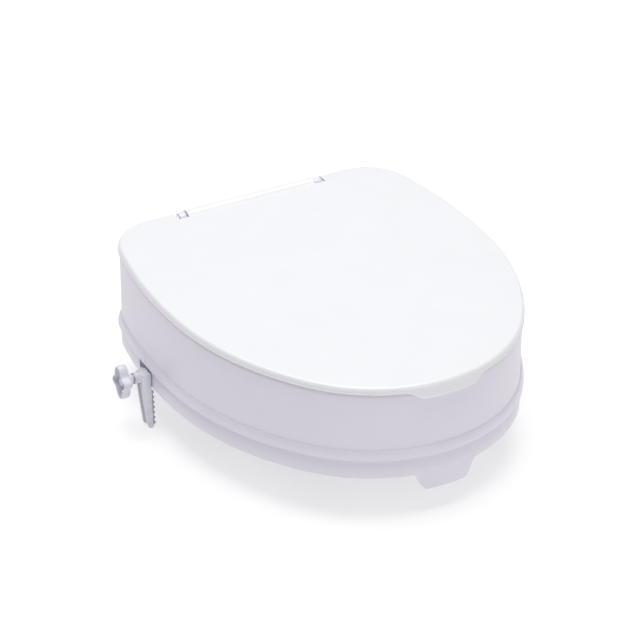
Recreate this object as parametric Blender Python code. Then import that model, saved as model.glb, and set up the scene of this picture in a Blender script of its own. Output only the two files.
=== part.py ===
"""Raised toilet seat with a hinged lid and two screw-operated side clamps.

Metres, +Z up, front at -Y, symmetric about X = 0.  The lowest points are the feet of the
two clamp arms at z = 0.
"""
import math

import bmesh
import bpy
from mathutils import Matrix, Vector

# ---------------------------------------------------------------- driving dimensions
HALF_DEPTH = 0.2053            # front of the wall to the middle of the object
# plan outline from the front centre round to the rear: radius, heading reached, segments
OUTLINE_ARCS = (
    (0.157, 22.0, 14),
    (0.157, 52.3, 6),
    (0.288, 85.8, 10),
    (0.524, 102.7, 7),
    (0.053, 180.0, 10),
)
REAR_SEGMENTS = 4              # straight rear edge, each half

SKIRT_BOTTOM = 0.0481          # rests on the bowl
LEDGE_TOP = 0.0511
LEDGE_REACH = 0.038            # inward from the wall
BEAD_LOW = 0.0700
BEAD_HIGH = 0.0802
BEAD_OUT = 0.0039
SKIRT_OUT = 0.0009
WALL = 0.0040
LUG_DROP = 0.0195
LUG_HALF_FOOT = 0.0215
LUG_HALF_ROOT = 0.0370

LIP = 0.1515                   # height of the lid's lower edge at y = 0
SLOPE = 0.0346                 # rise of the sitting plane per metre toward the rear
SEAT_OVER_LIP = 0.0020
SHOULDER = 0.0080
REAR_DROP = 0.0100             # step down under the hinge
DISH = 0.0050
APERTURE = (0.105, 0.135)      # half width, half length
APERTURE_Y = -0.018
SPLASH_BOTTOM = 0.0370
SPLASH_WALL = 0.0035

LID_OUT = 0.0021
LID_HEIGHT = 0.0070
LID_ROUND = 0.0055
LID_WALL = 0.0028
LID_DOME = 0.0030
FIELD_SCALES = (0.3, 0.6, 0.85)
TAB_DROP = 0.0075
TAB_OUT = 0.0018
TAB_HALF_FLAT = 0.028
TAB_HALF_ROOT = 0.046

HINGE_Y = 0.2000
HINGE_Z = 0.1603
BARREL_RADIUS = 0.0080
BARREL_HALF = 0.0770
EAR_GAP = 0.0012
EAR_WIDTH = 0.0080
EAR_RADIUS = 0.0065
PIN_RADIUS = 0.0029
PIN_HEAD_RADIUS = 0.0046
PIN_HEAD = 0.0018
FIT = 0.0003                   # gap kept between neighbouring pieces

CLAMP_Y = 0.0800
SCREW_Z = 0.0610
SCREW_RADIUS = 0.0029
SLOT_FRONT = 0.0755
SLOT_REAR = 0.1060
SLOT_LOW = 0.0560
SLOT_HIGH = 0.0694
WEB_IN = 0.1862
WEB = 0.0032
ARM_HALF = 0.0074
ARM_TOP = 0.0655
ARM_STRAIGHT = 0.0480          # the arm leans toward the bowl below this height
ARM_LEAN = math.radians(1.5)
FLANGE = 0.0026
# height and depth of the arm's flanges
ARM_DEPTHS = ((0.0, 0.0036), (0.0006, 0.0045), (0.0018, 0.0053), (0.0036, 0.0058),
              (0.0110, 0.0064), (0.0300, 0.0083), (ARM_STRAIGHT, 0.0101), (ARM_TOP, 0.0101))
BOSS_OUT = 0.2030
BOSS_RADIUS = 0.0060
TONGUE_LOW = 0.0570
TONGUE_HIGH = 0.0615
TONGUE_FRONT = 0.0870
TONGUE_REAR = 0.0920
TONGUE_IN = 0.1560
HOLDER_Y = 0.0835
KNOB_NECK = 0.2049
# knob outline: mean radius and the swings of its four lobes and of its longer axis
KNOB_OUTLINE = (0.0139, 0.0029, 0.0018)
KNOB_TURN = math.radians(81.0)

BUFFER_RADIUS = 0.0060
RIM_PAD = (0.0150, 0.0080, 0.0025)   # half length, half width, thickness

COLLECTION = "raised_toilet_seat"
CUTTERS = "raised_toilet_seat_cutters"


# ---------------------------------------------------------------- scene and materials
def clear_scene():
    """Start from an empty scene."""
    for old in list(bpy.data.objects):
        bpy.data.objects.remove(old, do_unlink=True)


def make_collection(name):
    """A collection linked to the scene."""
    coll = bpy.data.collections.new(name)
    bpy.context.scene.collection.children.link(coll)
    return coll


def material(name, colour, roughness, metallic=0.0):
    """One Principled material."""
    mat = bpy.data.materials.new(name)
    mat.use_nodes = True
    shader = mat.node_tree.nodes["Principled BSDF"]
    shader.inputs["Base Color"].default_value = (*colour, 1.0)
    shader.inputs["Roughness"].default_value = roughness
    shader.inputs["Metallic"].default_value = metallic
    mat.diffuse_color = (*colour, 1.0)
    return mat


def add_object(name, bm, coll, mat, smooth_angle=35.0):
    """Turn a bmesh into a named object with outward faces."""
    bmesh.ops.remove_doubles(bm, verts=bm.verts, dist=1e-6)
    bmesh.ops.recalc_face_normals(bm, faces=bm.faces)
    mesh = bpy.data.meshes.new(name)
    bm.to_mesh(mesh)
    bm.free()
    mesh.materials.append(mat)
    mesh.shade_smooth()
    mesh.set_sharp_from_angle(angle=math.radians(smooth_angle))
    obj = bpy.data.objects.new(name, mesh)
    coll.objects.link(obj)
    return obj


def cutter(name, bm):
    """A hidden object used by a Boolean."""
    bmesh.ops.recalc_face_normals(bm, faces=bm.faces)
    mesh = bpy.data.meshes.new(name)
    bm.to_mesh(mesh)
    bm.free()
    obj = bpy.data.objects.new(name, mesh)
    bpy.data.collections[CUTTERS].objects.link(obj)
    obj.hide_render = True
    obj.display_type = "WIRE"
    return obj


def boolean(obj, operation, tool):
    """An exact Boolean modifier."""
    mod = obj.modifiers.new(tool.name, "BOOLEAN")
    mod.solver = "EXACT"
    mod.operation = operation
    mod.object = tool


def move_origin(obj, point):
    """Put an object's origin on a point without moving its shape."""
    obj.data.transform(Matrix.Translation(-Vector(point)))
    obj.location = point


# ---------------------------------------------------------------- basic solids
def smoothstep(value):
    """0 to 1 with level ends."""
    value = min(max(value, 0.0), 1.0)
    return value * value * (3.0 - 2.0 * value)


def box(bm, low, high):
    """An axis-aligned box."""
    centre = (Vector(low) + Vector(high)) / 2
    size = Vector(high) - Vector(low)
    place = Matrix.Translation(centre) @ Matrix.Diagonal((*size, 1.0))
    return bmesh.ops.create_cube(bm, size=1.0, matrix=place)["verts"]


def rod(bm, start, end, radius, segments=32, end_radius=None):
    """A capped cylinder or cone between two points."""
    start, end = Vector(start), Vector(end)
    along = end - start
    turn = along.to_track_quat("Z", "Y").to_matrix().to_4x4()
    place = Matrix.Translation((start + end) / 2) @ turn
    far = radius if end_radius is None else end_radius
    made = bmesh.ops.create_cone(
        bm, cap_ends=True, segments=segments, radius1=radius, radius2=far,
        depth=along.length, matrix=place)
    return made["verts"]


def loft(bm, rings, cap_start=None, cap_end=None, closed=False):
    """Quads between rings of equal count; caps are centre points or None."""
    loops = [[bm.verts.new(p) for p in ring] for ring in rings]
    count = len(loops[0])
    pairs = list(zip(loops, loops[1:]))
    if closed:
        pairs.append((loops[-1], loops[0]))
    for first, second in pairs:
        for i in range(count):
            j = (i + 1) % count
            bm.faces.new((first[i], first[j], second[j], second[i]))
    for loop, centre in ((loops[0], cap_start), (loops[-1], cap_end)):
        if centre is None:
            continue
        hub = bm.verts.new(centre)
        for i in range(count):
            bm.faces.new((loop[i], loop[(i + 1) % count], hub))


def prism(bm, outline, axis_from, axis_to, place):
    """A flat outline pushed from one depth to another; place maps (u, v, depth)."""
    first = [bm.verts.new(place(u, v, axis_from)) for u, v in outline]
    second = [bm.verts.new(place(u, v, axis_to)) for u, v in outline]
    bm.faces.new(first)
    bm.faces.new(second[::-1])
    for i in range(len(outline)):
        j = (i + 1) % len(outline)
        bm.faces.new((first[j], first[i], second[i], second[j]))


def mirror_side(bm, side):
    """Mirror a right-hand piece to the left when side is -1."""
    if side < 0:
        bmesh.ops.scale(bm, vec=(-1.0, 1.0, 1.0), verts=bm.verts)
        bmesh.ops.reverse_faces(bm, faces=bm.faces)


# ---------------------------------------------------------------- plan outlines
def half_outline():
    """Points and outward normals from the front centre to the rear centre (x >= 0)."""
    point = Vector((0.0, -HALF_DEPTH))
    heading = 0.0
    samples = [(point.copy(), Vector((0.0, -1.0)))]
    for radius, end_degrees, segments in OUTLINE_ARCS:
        end = math.radians(end_degrees)
        step = (end - heading) / segments
        for _ in range(segments):
            chord = 2.0 * radius * math.sin(step / 2.0)
            middle = heading + step / 2.0
            point = point + chord * Vector((math.cos(middle), math.sin(middle)))
            heading += step
            samples.append((point.copy(), Vector((math.sin(heading), -math.cos(heading)))))
    half_rear = point.x
    for i in range(1, REAR_SEGMENTS + 1):
        x = half_rear * (1.0 - i / REAR_SEGMENTS)
        samples.append((Vector((x, point.y)), Vector((0.0, 1.0))))
    return samples


def full_outline():
    """The closed outline, anticlockwise from the front centre."""
    right = half_outline()
    left = [(Vector((-p.x, p.y)), Vector((-n.x, n.y))) for p, n in right[1:-1]]
    return right + left[::-1]


OUTLINE = full_outline()


def outer(offset):
    """The wall outline pushed outward by an offset."""
    return [p + n * offset for p, n in OUTLINE]


def aperture(offset):
    """The aperture outline pushed outward by an offset, matched to the wall outline."""
    ring = []
    for p, _ in OUTLINE:
        angle = math.atan2(p.x / 0.185, -p.y / HALF_DEPTH)
        x = APERTURE[0] * math.sin(angle)
        y = -APERTURE[1] * math.cos(angle)
        normal = Vector((x / APERTURE[0] ** 2, y / APERTURE[1] ** 2)).normalized()
        ring.append(Vector((x, y + APERTURE_Y)) + normal * offset)
    return ring


def blend(ring_a, ring_b, t):
    """Points part of the way from one ring to another."""
    return [a.lerp(b, t) for a, b in zip(ring_a, ring_b)]


def lip_height(y):
    """Height of the sloping plane that carries the lid's lower edge."""
    return LIP + SLOPE * y


def seat_height(x, y):
    """Height of the seat's rim plane, stepped down under the hinge."""
    return lip_height(y) + SEAT_OVER_LIP - REAR_DROP * smoothstep((y - 0.187) / 0.012)


def lug_weight(x, y):
    """1 on the foot of the front lug, 0 away from it."""
    if y > 0:
        return 0.0
    return smoothstep((LUG_HALF_ROOT - abs(x)) / (LUG_HALF_ROOT - LUG_HALF_FOOT))


def tab_weight(x, y):
    """1 on the lid's finger tab, 0 away from it."""
    if y > 0:
        return 0.0
    return smoothstep((TAB_HALF_ROOT - abs(x)) / (TAB_HALF_ROOT - TAB_HALF_FLAT))


def level(ring, z):
    """A ring at one height."""
    return [Vector((p.x, p.y, z)) for p in ring]


def follow(ring, height, shift):
    """A ring that follows a height function."""
    return [Vector((p.x, p.y, height(p.x, p.y) + shift)) for p in ring]


def with_lug(ring, z):
    """A level ring that drops along the front lug."""
    return [Vector((p.x, p.y, z - LUG_DROP * lug_weight(p.x, p.y))) for p in ring]


# ---------------------------------------------------------------- seat body
def seat_rings():
    """Cross-section of the seat carried once round it, from the skirt's foot."""
    rings = [with_lug(outer(SKIRT_OUT - 0.0008), SKIRT_BOTTOM)]
    rings.append(with_lug(outer(SKIRT_OUT), SKIRT_BOTTOM + 0.0010))
    rings.append(level(outer(SKIRT_OUT), SKIRT_BOTTOM + 0.0030))
    rings.append(level(outer(SKIRT_OUT), BEAD_LOW))
    bead_mid = (BEAD_LOW + BEAD_HIGH) / 2
    rings.append(level(outer(BEAD_OUT - 0.0010), BEAD_LOW + 0.0004))
    rings.append(level(outer(BEAD_OUT), BEAD_LOW + 0.0020))
    rings.append(level(outer(BEAD_OUT), bead_mid + 0.0010))
    rings.append(level(outer(BEAD_OUT - 0.0014), BEAD_HIGH - 0.0014))
    rings.append(level(outer(0.0004), BEAD_HIGH))
    rings.append(level(outer(0.0), BEAD_HIGH + 0.0012))
    for degrees in (0, 30, 60, 90):
        angle = math.radians(degrees)
        inset = SHOULDER * (1.0 - math.cos(angle))
        drop = SHOULDER * (1.0 - math.sin(angle))
        rings.append(follow(outer(-inset), seat_height, -drop))
    inner_edge = aperture(SHOULDER)
    for t in (0.3, 0.65, 1.0):
        ring = blend(outer(-SHOULDER), inner_edge, t)
        rings.append(follow(ring, seat_height, -DISH * smoothstep(t)))
    for degrees in (60, 30, 0):
        angle = math.radians(degrees)
        inset = SHOULDER * math.cos(angle)
        drop = SHOULDER * (1.0 - math.sin(angle))
        rings.append(follow(aperture(SHOULDER - inset), seat_height, -DISH - drop))
    rings.append(level(aperture(0.0), SPLASH_BOTTOM + 0.0010))
    rings.append(level(aperture(0.0010), SPLASH_BOTTOM))
    rings.append(level(aperture(SPLASH_WALL - 0.0010), SPLASH_BOTTOM))
    rings.append(level(aperture(SPLASH_WALL), SPLASH_BOTTOM + 0.0010))
    rings.append(follow(aperture(SPLASH_WALL), seat_height, -DISH - SHOULDER))
    rings.append(follow(aperture(SHOULDER), seat_height, -DISH - WALL))
    for t in (0.65, 0.3):
        ring = blend(outer(-SHOULDER), inner_edge, t)
        rings.append(follow(ring, seat_height, -DISH * smoothstep(t) - WALL))
    rings.append(follow(outer(-SHOULDER), seat_height, -WALL))
    rings.append(follow(outer(-WALL), seat_height, -SHOULDER))
    rings.append(level(outer(-WALL), LEDGE_TOP))
    rings.append(level(outer(-LEDGE_REACH), LEDGE_TOP))
    rings.append(level(outer(-LEDGE_REACH), SKIRT_BOTTOM))
    rings.append(level(outer(-WALL - 0.0010), SKIRT_BOTTOM))
    rings.append(with_lug(outer(-WALL - 0.0002), SKIRT_BOTTOM))
    return rings


def ear_tool(side):
    """One hinge ear, standing on the rear shoulder."""
    bm = bmesh.new()
    inner_x = BARREL_HALF + EAR_GAP
    outer_x = inner_x + EAR_WIDTH
    outline = [(HINGE_Y + EAR_RADIUS, 0.1400)]
    for i in range(13):
        angle = math.pi * i / 12
        outline.append((HINGE_Y + EAR_RADIUS * math.cos(angle),
                        HINGE_Z + EAR_RADIUS * math.sin(angle)))
    outline.append((HINGE_Y - EAR_RADIUS, 0.1400))
    prism(bm, outline, inner_x, outer_x, lambda u, v, d: (d, u, v))
    mirror_side(bm, side)
    return cutter(f"ear_{'right' if side > 0 else 'left'}", bm)


def pin_bore(side, radius, x_from, x_to, name):
    """A bore on the hinge axis."""
    bm = bmesh.new()
    rod(bm, (x_from, HINGE_Y, HINGE_Z), (x_to, HINGE_Y, HINGE_Z), radius, 24)
    mirror_side(bm, side)
    return cutter(f"{name}_{'right' if side > 0 else 'left'}", bm)


def slot_tool(side):
    """The opening in the skirt that the clamp's tongue and screw pass through."""
    bm = bmesh.new()
    box(bm, (0.1700, SLOT_FRONT, SLOT_LOW), (0.1870, SLOT_REAR, SLOT_HIGH))
    mirror_side(bm, side)
    return cutter(f"slot_{'right' if side > 0 else 'left'}", bm)


def holder_screw_points(side):
    """Plan positions of the two screws of a nut holder."""
    return [(side * 0.1640, HOLDER_Y + sign * 0.0195) for sign in (-1, 1)]


def ledge_holes(side):
    """Holes in the ledge for the nut holder's screws."""
    bm = bmesh.new()
    for x, y in holder_screw_points(side):
        rod(bm, (x, y, 0.0460), (x, y, 0.0530), 0.0019, 16)
    return cutter(f"ledge_holes_{'right' if side > 0 else 'left'}", bm)


def seat_body(coll, mat):
    """The moulded seat: wall, bead, skirt, lug, sitting surface, splash wall, ears."""
    bm = bmesh.new()
    loft(bm, seat_rings(), closed=True)
    seat = add_object("seat_body", bm, coll, mat)
    for side in (-1, 1):
        boolean(seat, "UNION", ear_tool(side))
    for side in (-1, 1):
        boolean(seat, "DIFFERENCE", pin_bore(side, PIN_RADIUS + FIT, 0.0770, 0.0960, "ear_bore"))
        boolean(seat, "DIFFERENCE", slot_tool(side))
        boolean(seat, "DIFFERENCE", ledge_holes(side))
    return seat


# ---------------------------------------------------------------- lid
def lid_ring(offset, shift, tab=0.0):
    """A ring near the lid's rim; tab is how far the finger tab pulls it down."""
    ring = []
    for p in outer(offset):
        weight = tab_weight(p.x, p.y) * tab
        z = lip_height(p.y) + shift - TAB_DROP * weight
        ring.append(Vector((p.x, p.y - TAB_OUT * weight, z)))
    return ring


def dome_over(x, y):
    """Rise of the lid's faceted dome over a plan position."""
    edge = max(outer(LID_OUT - LID_ROUND), key=lambda p: p.normalized().dot(Vector((x, y))))
    scale = Vector((x, y)).length / edge.length
    stops = (0.0, *FIELD_SCALES, 1.0)
    for low, high in zip(stops, stops[1:]):
        if scale <= high:
            t = (scale - low) / (high - low)
            return LID_DOME * (1.0 - (low ** 2 * (1.0 - t) + high ** 2 * t))
    return 0.0


def lid_field(scale, offset, shift):
    """A ring of the domed field, scaled toward the middle."""
    dome = LID_DOME * (1.0 - scale ** 2)
    ring = []
    for p in outer(offset):
        q = p * scale
        ring.append(Vector((q.x, q.y, lip_height(q.y) + shift + dome)))
    return ring


def lid_rings():
    """Lid surface from the middle of the top over the rim to the middle underneath."""
    top = LID_HEIGHT
    edge = LID_OUT - LID_ROUND
    rings = [lid_field(s, edge, top) for s in FIELD_SCALES]
    for degrees in (90, 60, 30, 0):
        angle = math.radians(degrees)
        offset = edge + LID_ROUND * math.cos(angle)
        drop = LID_ROUND * (1.0 - math.sin(angle))
        rings.append(lid_ring(offset, top - drop, 0.3 * (1.0 - math.sin(angle))))
    rings.append(lid_ring(LID_OUT, 0.0006, 1.0))
    rings.append(lid_ring(LID_OUT - 0.0005, 0.0, 1.0))
    rings.append(lid_ring(LID_OUT - 0.0019, 0.0, 1.0))
    rings.append(lid_ring(LID_OUT - 0.0024, 0.0006, 1.0))
    rings.append(lid_ring(LID_OUT - 0.0026, 0.0016, 0.3))
    rings.append(lid_ring(edge - 0.0008, top - LID_WALL))
    rings += [lid_field(s, edge, top - LID_WALL) for s in FIELD_SCALES[::-1]]
    return rings


def lid(coll, mat):
    """The lid with its hinge barrel; origin on the hinge axis."""
    bm = bmesh.new()
    middle = lip_height(0.0) + LID_HEIGHT + LID_DOME
    loft(bm, lid_rings(), cap_start=(0.0, 0.0, middle), cap_end=(0.0, 0.0, middle - LID_WALL))
    obj = add_object("lid", bm, coll, mat)
    barrel = bmesh.new()
    reach = BARREL_HALF + 0.0010
    rod(barrel, (-reach, HINGE_Y, HINGE_Z), (reach, HINGE_Y, HINGE_Z), BARREL_RADIUS, 32)
    boolean(obj, "UNION", cutter("barrel", barrel))
    for side in (-1, 1):
        notch = bmesh.new()
        far = BARREL_HALF + EAR_GAP + EAR_WIDTH + 0.0030
        box(notch, (BARREL_HALF, HINGE_Y - 0.0085, 0.1400), (far, HINGE_Y + 0.0120, 0.1800))
        mirror_side(notch, side)
        boolean(obj, "DIFFERENCE", cutter(f"notch_{'right' if side > 0 else 'left'}", notch))
        bore = pin_bore(side, PIN_RADIUS + FIT, 0.0640, 0.0800, "barrel_bore")
        boolean(obj, "DIFFERENCE", bore)
    return obj


def hinge_pin(side, coll, mat):
    """A headed pin through an ear into the barrel."""
    bm = bmesh.new()
    inner_x = BARREL_HALF - 0.0120
    head_x = BARREL_HALF + EAR_GAP + EAR_WIDTH + FIT
    rings = []
    sections = ((inner_x, PIN_RADIUS - 0.0006), (inner_x + 0.0006, PIN_RADIUS),
                (head_x, PIN_RADIUS), (head_x, PIN_HEAD_RADIUS),
                (head_x + PIN_HEAD - 0.0006, PIN_HEAD_RADIUS),
                (head_x + PIN_HEAD, PIN_HEAD_RADIUS - 0.0006))
    for x, radius in sections:
        rings.append(circle_x(x, HINGE_Y, HINGE_Z, radius, 20))
    loft(bm, rings, (inner_x, HINGE_Y, HINGE_Z), (head_x + PIN_HEAD, HINGE_Y, HINGE_Z))
    mirror_side(bm, side)
    return add_object(f"hinge_pin_{'right' if side > 0 else 'left'}", bm, coll, mat)


def circle_x(x, y, z, radius, count):
    """A ring round an axis along X."""
    ring = []
    for i in range(count):
        angle = 2.0 * math.pi * i / count
        ring.append(Vector((x, y + radius * math.cos(angle), z + radius * math.sin(angle))))
    return ring


def knob_ring(x, inset, share, count=48):
    """The knob's outline drawn in by an inset; share 0 makes it round."""
    mean, lobe, longer = KNOB_OUTLINE
    ring = []
    for i in range(count):
        angle = 2.0 * math.pi * i / count
        turned = angle - KNOB_TURN
        swing = lobe * math.cos(4.0 * turned) + longer * math.cos(2.0 * turned)
        r = mean - inset + share * swing
        ring.append(Vector((x, CLAMP_Y + r * math.cos(angle), SCREW_Z + r * math.sin(angle))))
    return ring


def lid_buffer(number, x, y, coll, mat):
    """A soft disc under the lid, square to the sloping sitting plane."""
    high = lip_height(y) + LID_HEIGHT - LID_WALL + dome_over(x, y) - FIT - 0.0002
    low = seat_height(x, y) - 0.0001
    turn = Matrix.Rotation(math.atan(SLOPE), 4, "X")
    bm = bmesh.new()
    rings = []
    sections = ((low + 0.0003, BUFFER_RADIUS - 0.0012), (low + 0.0009, BUFFER_RADIUS - 0.0004),
                (high, BUFFER_RADIUS))
    for z, radius in sections:
        ring = [Vector((radius * math.cos(2 * math.pi * i / 24),
                        radius * math.sin(2 * math.pi * i / 24), z - high)) for i in range(24)]
        rings.append(ring)
    loft(bm, rings, rings_centre(rings[0]), rings_centre(rings[-1]))
    bmesh.ops.transform(bm, matrix=Matrix.Translation((x, y, high)) @ turn, verts=bm.verts)
    return add_object(f"lid_buffer_{number}", bm, coll, mat)


def rings_centre(ring):
    """The middle of a ring."""
    return sum(ring, Vector()) / len(ring)


# ---------------------------------------------------------------- rim pads
def rim_pad(number, x, y, heading, coll, mat):
    """A flat rubber pad under the ledge, its long side along the bowl's rim."""
    half_length, half_width, thick = RIM_PAD
    outline = []
    corner = 0.0030
    for cx, cy, start in ((1, 1, 0), (-1, 1, 90), (-1, -1, 180), (1, -1, 270)):
        for i in range(5):
            angle = math.radians(start + 22.5 * i)
            outline.append((cx * (half_length - corner) + corner * math.cos(angle),
                            cy * (half_width - corner) + corner * math.sin(angle)))
    bm = bmesh.new()
    top = SKIRT_BOTTOM - FIT
    prism(bm, outline, top - thick, top, lambda u, v, d: (u, v, d))
    turn = Matrix.Translation((x, y, 0.0)) @ Matrix.Rotation(heading, 4, "Z")
    bmesh.ops.transform(bm, matrix=turn, verts=bm.verts)
    return add_object(f"rim_pad_{number}", bm, coll, mat)


# ---------------------------------------------------------------- clamp
def lean(verts):
    """Shear what hangs below the straight part toward the bowl."""
    for vert in verts:
        below = max(ARM_STRAIGHT - vert.co.z, 0.0)
        vert.co.x -= below * math.tan(ARM_LEAN)


def arm_section(depth):
    """Plan section of the arm: a web with two flanges and a middle rib facing outward."""
    edge = WEB_IN + depth
    web = min(WEB_IN + WEB, edge - 0.0003)
    rib_edge = max(edge - 0.0012, web + 0.0002)
    half = ARM_HALF
    rib = 0.0010
    return [
        (WEB_IN, -half), (edge, -half), (edge, -half + FLANGE), (web, -half + FLANGE + 0.0003),
        (web, -rib - 0.0003), (rib_edge, -rib), (rib_edge, rib), (web, rib + 0.0003),
        (web, half - FLANGE - 0.0003), (edge, half - FLANGE), (edge, half), (WEB_IN, half)]


def clamp_bracket(side, coll, mat):
    """Channel arm with boss, side lug and tongue; origin on the screw axis."""
    bm = bmesh.new()
    rings = []
    for z, depth in ARM_DEPTHS:
        rings.append([Vector((x, CLAMP_Y + y, z)) for x, y in arm_section(depth)])
    loops = [[bm.verts.new(p) for p in ring] for ring in rings]
    count = len(loops[0])
    for first, second in zip(loops, loops[1:]):
        for i in range(count):
            j = (i + 1) % count
            bm.faces.new((first[i], first[j], second[j], second[i]))
    bm.faces.new(loops[0])
    bm.faces.new(loops[-1][::-1])
    lean(bm.verts)
    mirror_side(bm, side)
    word = "right" if side > 0 else "left"
    bracket = add_object(f"clamp_bracket_{word}", bm, coll, mat)

    boss = bmesh.new()
    rings = []
    root = WEB_IN + WEB
    boss_sections = ((root - 0.0010, BOSS_RADIUS + 0.0006), (root + 0.0004, BOSS_RADIUS + 0.0006),
                     (root + 0.0012, BOSS_RADIUS), (BOSS_OUT - 0.0008, BOSS_RADIUS),
                     (BOSS_OUT, BOSS_RADIUS - 0.0008))
    for x, radius in boss_sections:
        rings.append(circle_x(x, CLAMP_Y, SCREW_Z, radius, 32))
    loft(boss, rings, rings_centre(rings[0]), rings_centre(rings[-1]))
    mirror_side(boss, side)
    boolean(bracket, "UNION", cutter(f"boss_{word}", boss))

    lug = bmesh.new()
    box(lug, (WEB_IN, CLAMP_Y + 0.0040, TONGUE_LOW - 0.0015),
        (WEB_IN + WEB - 0.0002, TONGUE_REAR + 0.0012, TONGUE_HIGH + 0.0015))
    mirror_side(lug, side)
    boolean(bracket, "UNION", cutter(f"side_lug_{word}", lug))

    tongue = bmesh.new()
    box(tongue, (TONGUE_IN, TONGUE_FRONT, TONGUE_LOW),
        (WEB_IN + 0.0020, TONGUE_REAR, TONGUE_HIGH))
    mirror_side(tongue, side)
    boolean(bracket, "UNION", cutter(f"tongue_{word}", tongue))

    bore = bmesh.new()
    rod(bore, (WEB_IN - 0.0050, CLAMP_Y, SCREW_Z), (BOSS_OUT + 0.0050, CLAMP_Y, SCREW_Z),
        SCREW_RADIUS + FIT, 24)
    mirror_side(bore, side)
    boolean(bracket, "DIFFERENCE", cutter(f"bracket_bore_{word}", bore))
    return bracket


def grip_pad(side, coll, mat):
    """Serrated rubber pad on the bowl side of the arm."""
    word = "right" if side > 0 else "left"
    back = WEB_IN - FIT
    pitch = 0.0062
    teeth = 7
    low = 0.0030
    outline = [(back, low)]
    for i in range(teeth):
        z = low + i * pitch
        outline.append((back - 0.0010, z + 0.0004))
        outline.append((back - 0.0026, z + 0.0018))
        outline.append((back - 0.0026, z + 0.0030))
        outline.append((back - 0.0010, z + 0.0044))
    outline.append((back, low + teeth * pitch - 0.0010))
    bm = bmesh.new()
    half = ARM_HALF - 0.0004
    prism(bm, outline, -half, half, lambda u, v, d: (u, CLAMP_Y + d, v))
    lean(bm.verts)
    mirror_side(bm, side)
    return add_object(f"grip_pad_{word}", bm, coll, mat)


def knob(side, coll, mat):
    """Four-lobed hand knob with a neck and a hollow outer face; origin on its axis."""
    word = "right" if side > 0 else "left"
    back = 0.2105
    front = 0.2205
    mean = KNOB_OUTLINE[0]
    # place along the axis, inset from the outline, share of the lobes
    sections = (
        (KNOB_NECK, mean - 0.0056, 0.0), (back - 0.0003, mean - 0.0056, 0.0),
        (back, 0.0040, 0.50), (back + 0.0008, 0.0009, 0.96), (back + 0.0020, 0.0, 1.0),
        (front - 0.0020, 0.0, 1.0), (front - 0.0006, 0.0005, 0.98), (front, 0.0013, 0.95),
        (front - 0.0004, 0.0018, 0.92), (front - 0.0065, 0.0024, 0.88),
        (front - 0.0075, 0.0034, 0.80))
    bm = bmesh.new()
    rings = [knob_ring(x, inset, share) for x, inset, share in sections]
    loft(bm, rings, rings_centre(rings[0]), rings_centre(rings[-1]))
    mirror_side(bm, side)
    return add_object(f"knob_{word}", bm, coll, mat)


def knob_screw(side, coll, mat):
    """The screw that turns with the knob."""
    word = "right" if side > 0 else "left"
    bm = bmesh.new()
    near = KNOB_NECK - FIT
    rings = [circle_x(x, CLAMP_Y, SCREW_Z, r, 20) for x, r in (
        (0.1440, SCREW_RADIUS - 0.0008), (0.1448, SCREW_RADIUS), (near, SCREW_RADIUS))]
    loft(bm, rings, rings_centre(rings[0]), rings_centre(rings[-1]))
    mirror_side(bm, side)
    return add_object(f"knob_screw_{word}", bm, coll, mat)


def ring_solid(bm, x_from, x_to, inner, outer_radius, count, outer_count=None):
    """A washer or nut round the screw axis."""
    sections = ((x_from, inner), (x_from, outer_radius), (x_to, outer_radius), (x_to, inner))
    rings = []
    for x, radius in sections:
        ring = circle_x(x, CLAMP_Y, SCREW_Z, radius, count)
        if outer_count and radius == outer_radius:
            ring = [hexagon_point(x, 2 * math.pi * i / count, radius) for i in range(count)]
        rings.append(ring)
    loft(bm, rings, closed=True)


def hexagon_point(x, angle, flat):
    """A point on a hexagon of a given half width across flats, flats facing front and rear."""
    sector = math.pi / 3
    local = (angle + sector / 2) % sector - sector / 2
    r = flat / math.cos(local)
    return Vector((x, CLAMP_Y + r * math.cos(angle), SCREW_Z + r * math.sin(angle)))


def knob_washer(side, coll, mat):
    """Washer between the bracket's boss and the knob's neck."""
    word = "right" if side > 0 else "left"
    bm = bmesh.new()
    ring_solid(bm, BOSS_OUT + FIT, KNOB_NECK - FIT, SCREW_RADIUS + FIT, 0.0060, 32)
    mirror_side(bm, side)
    return add_object(f"knob_washer_{word}", bm, coll, mat)


def clamp_nut(side, coll, mat):
    """Hex nut held from turning in its holder."""
    word = "right" if side > 0 else "left"
    bm = bmesh.new()
    ring_solid(bm, 0.1600, 0.1650, SCREW_RADIUS + FIT, 0.0050, 24, 6)
    mirror_side(bm, side)
    return add_object(f"clamp_nut_{word}", bm, coll, mat)


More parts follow.
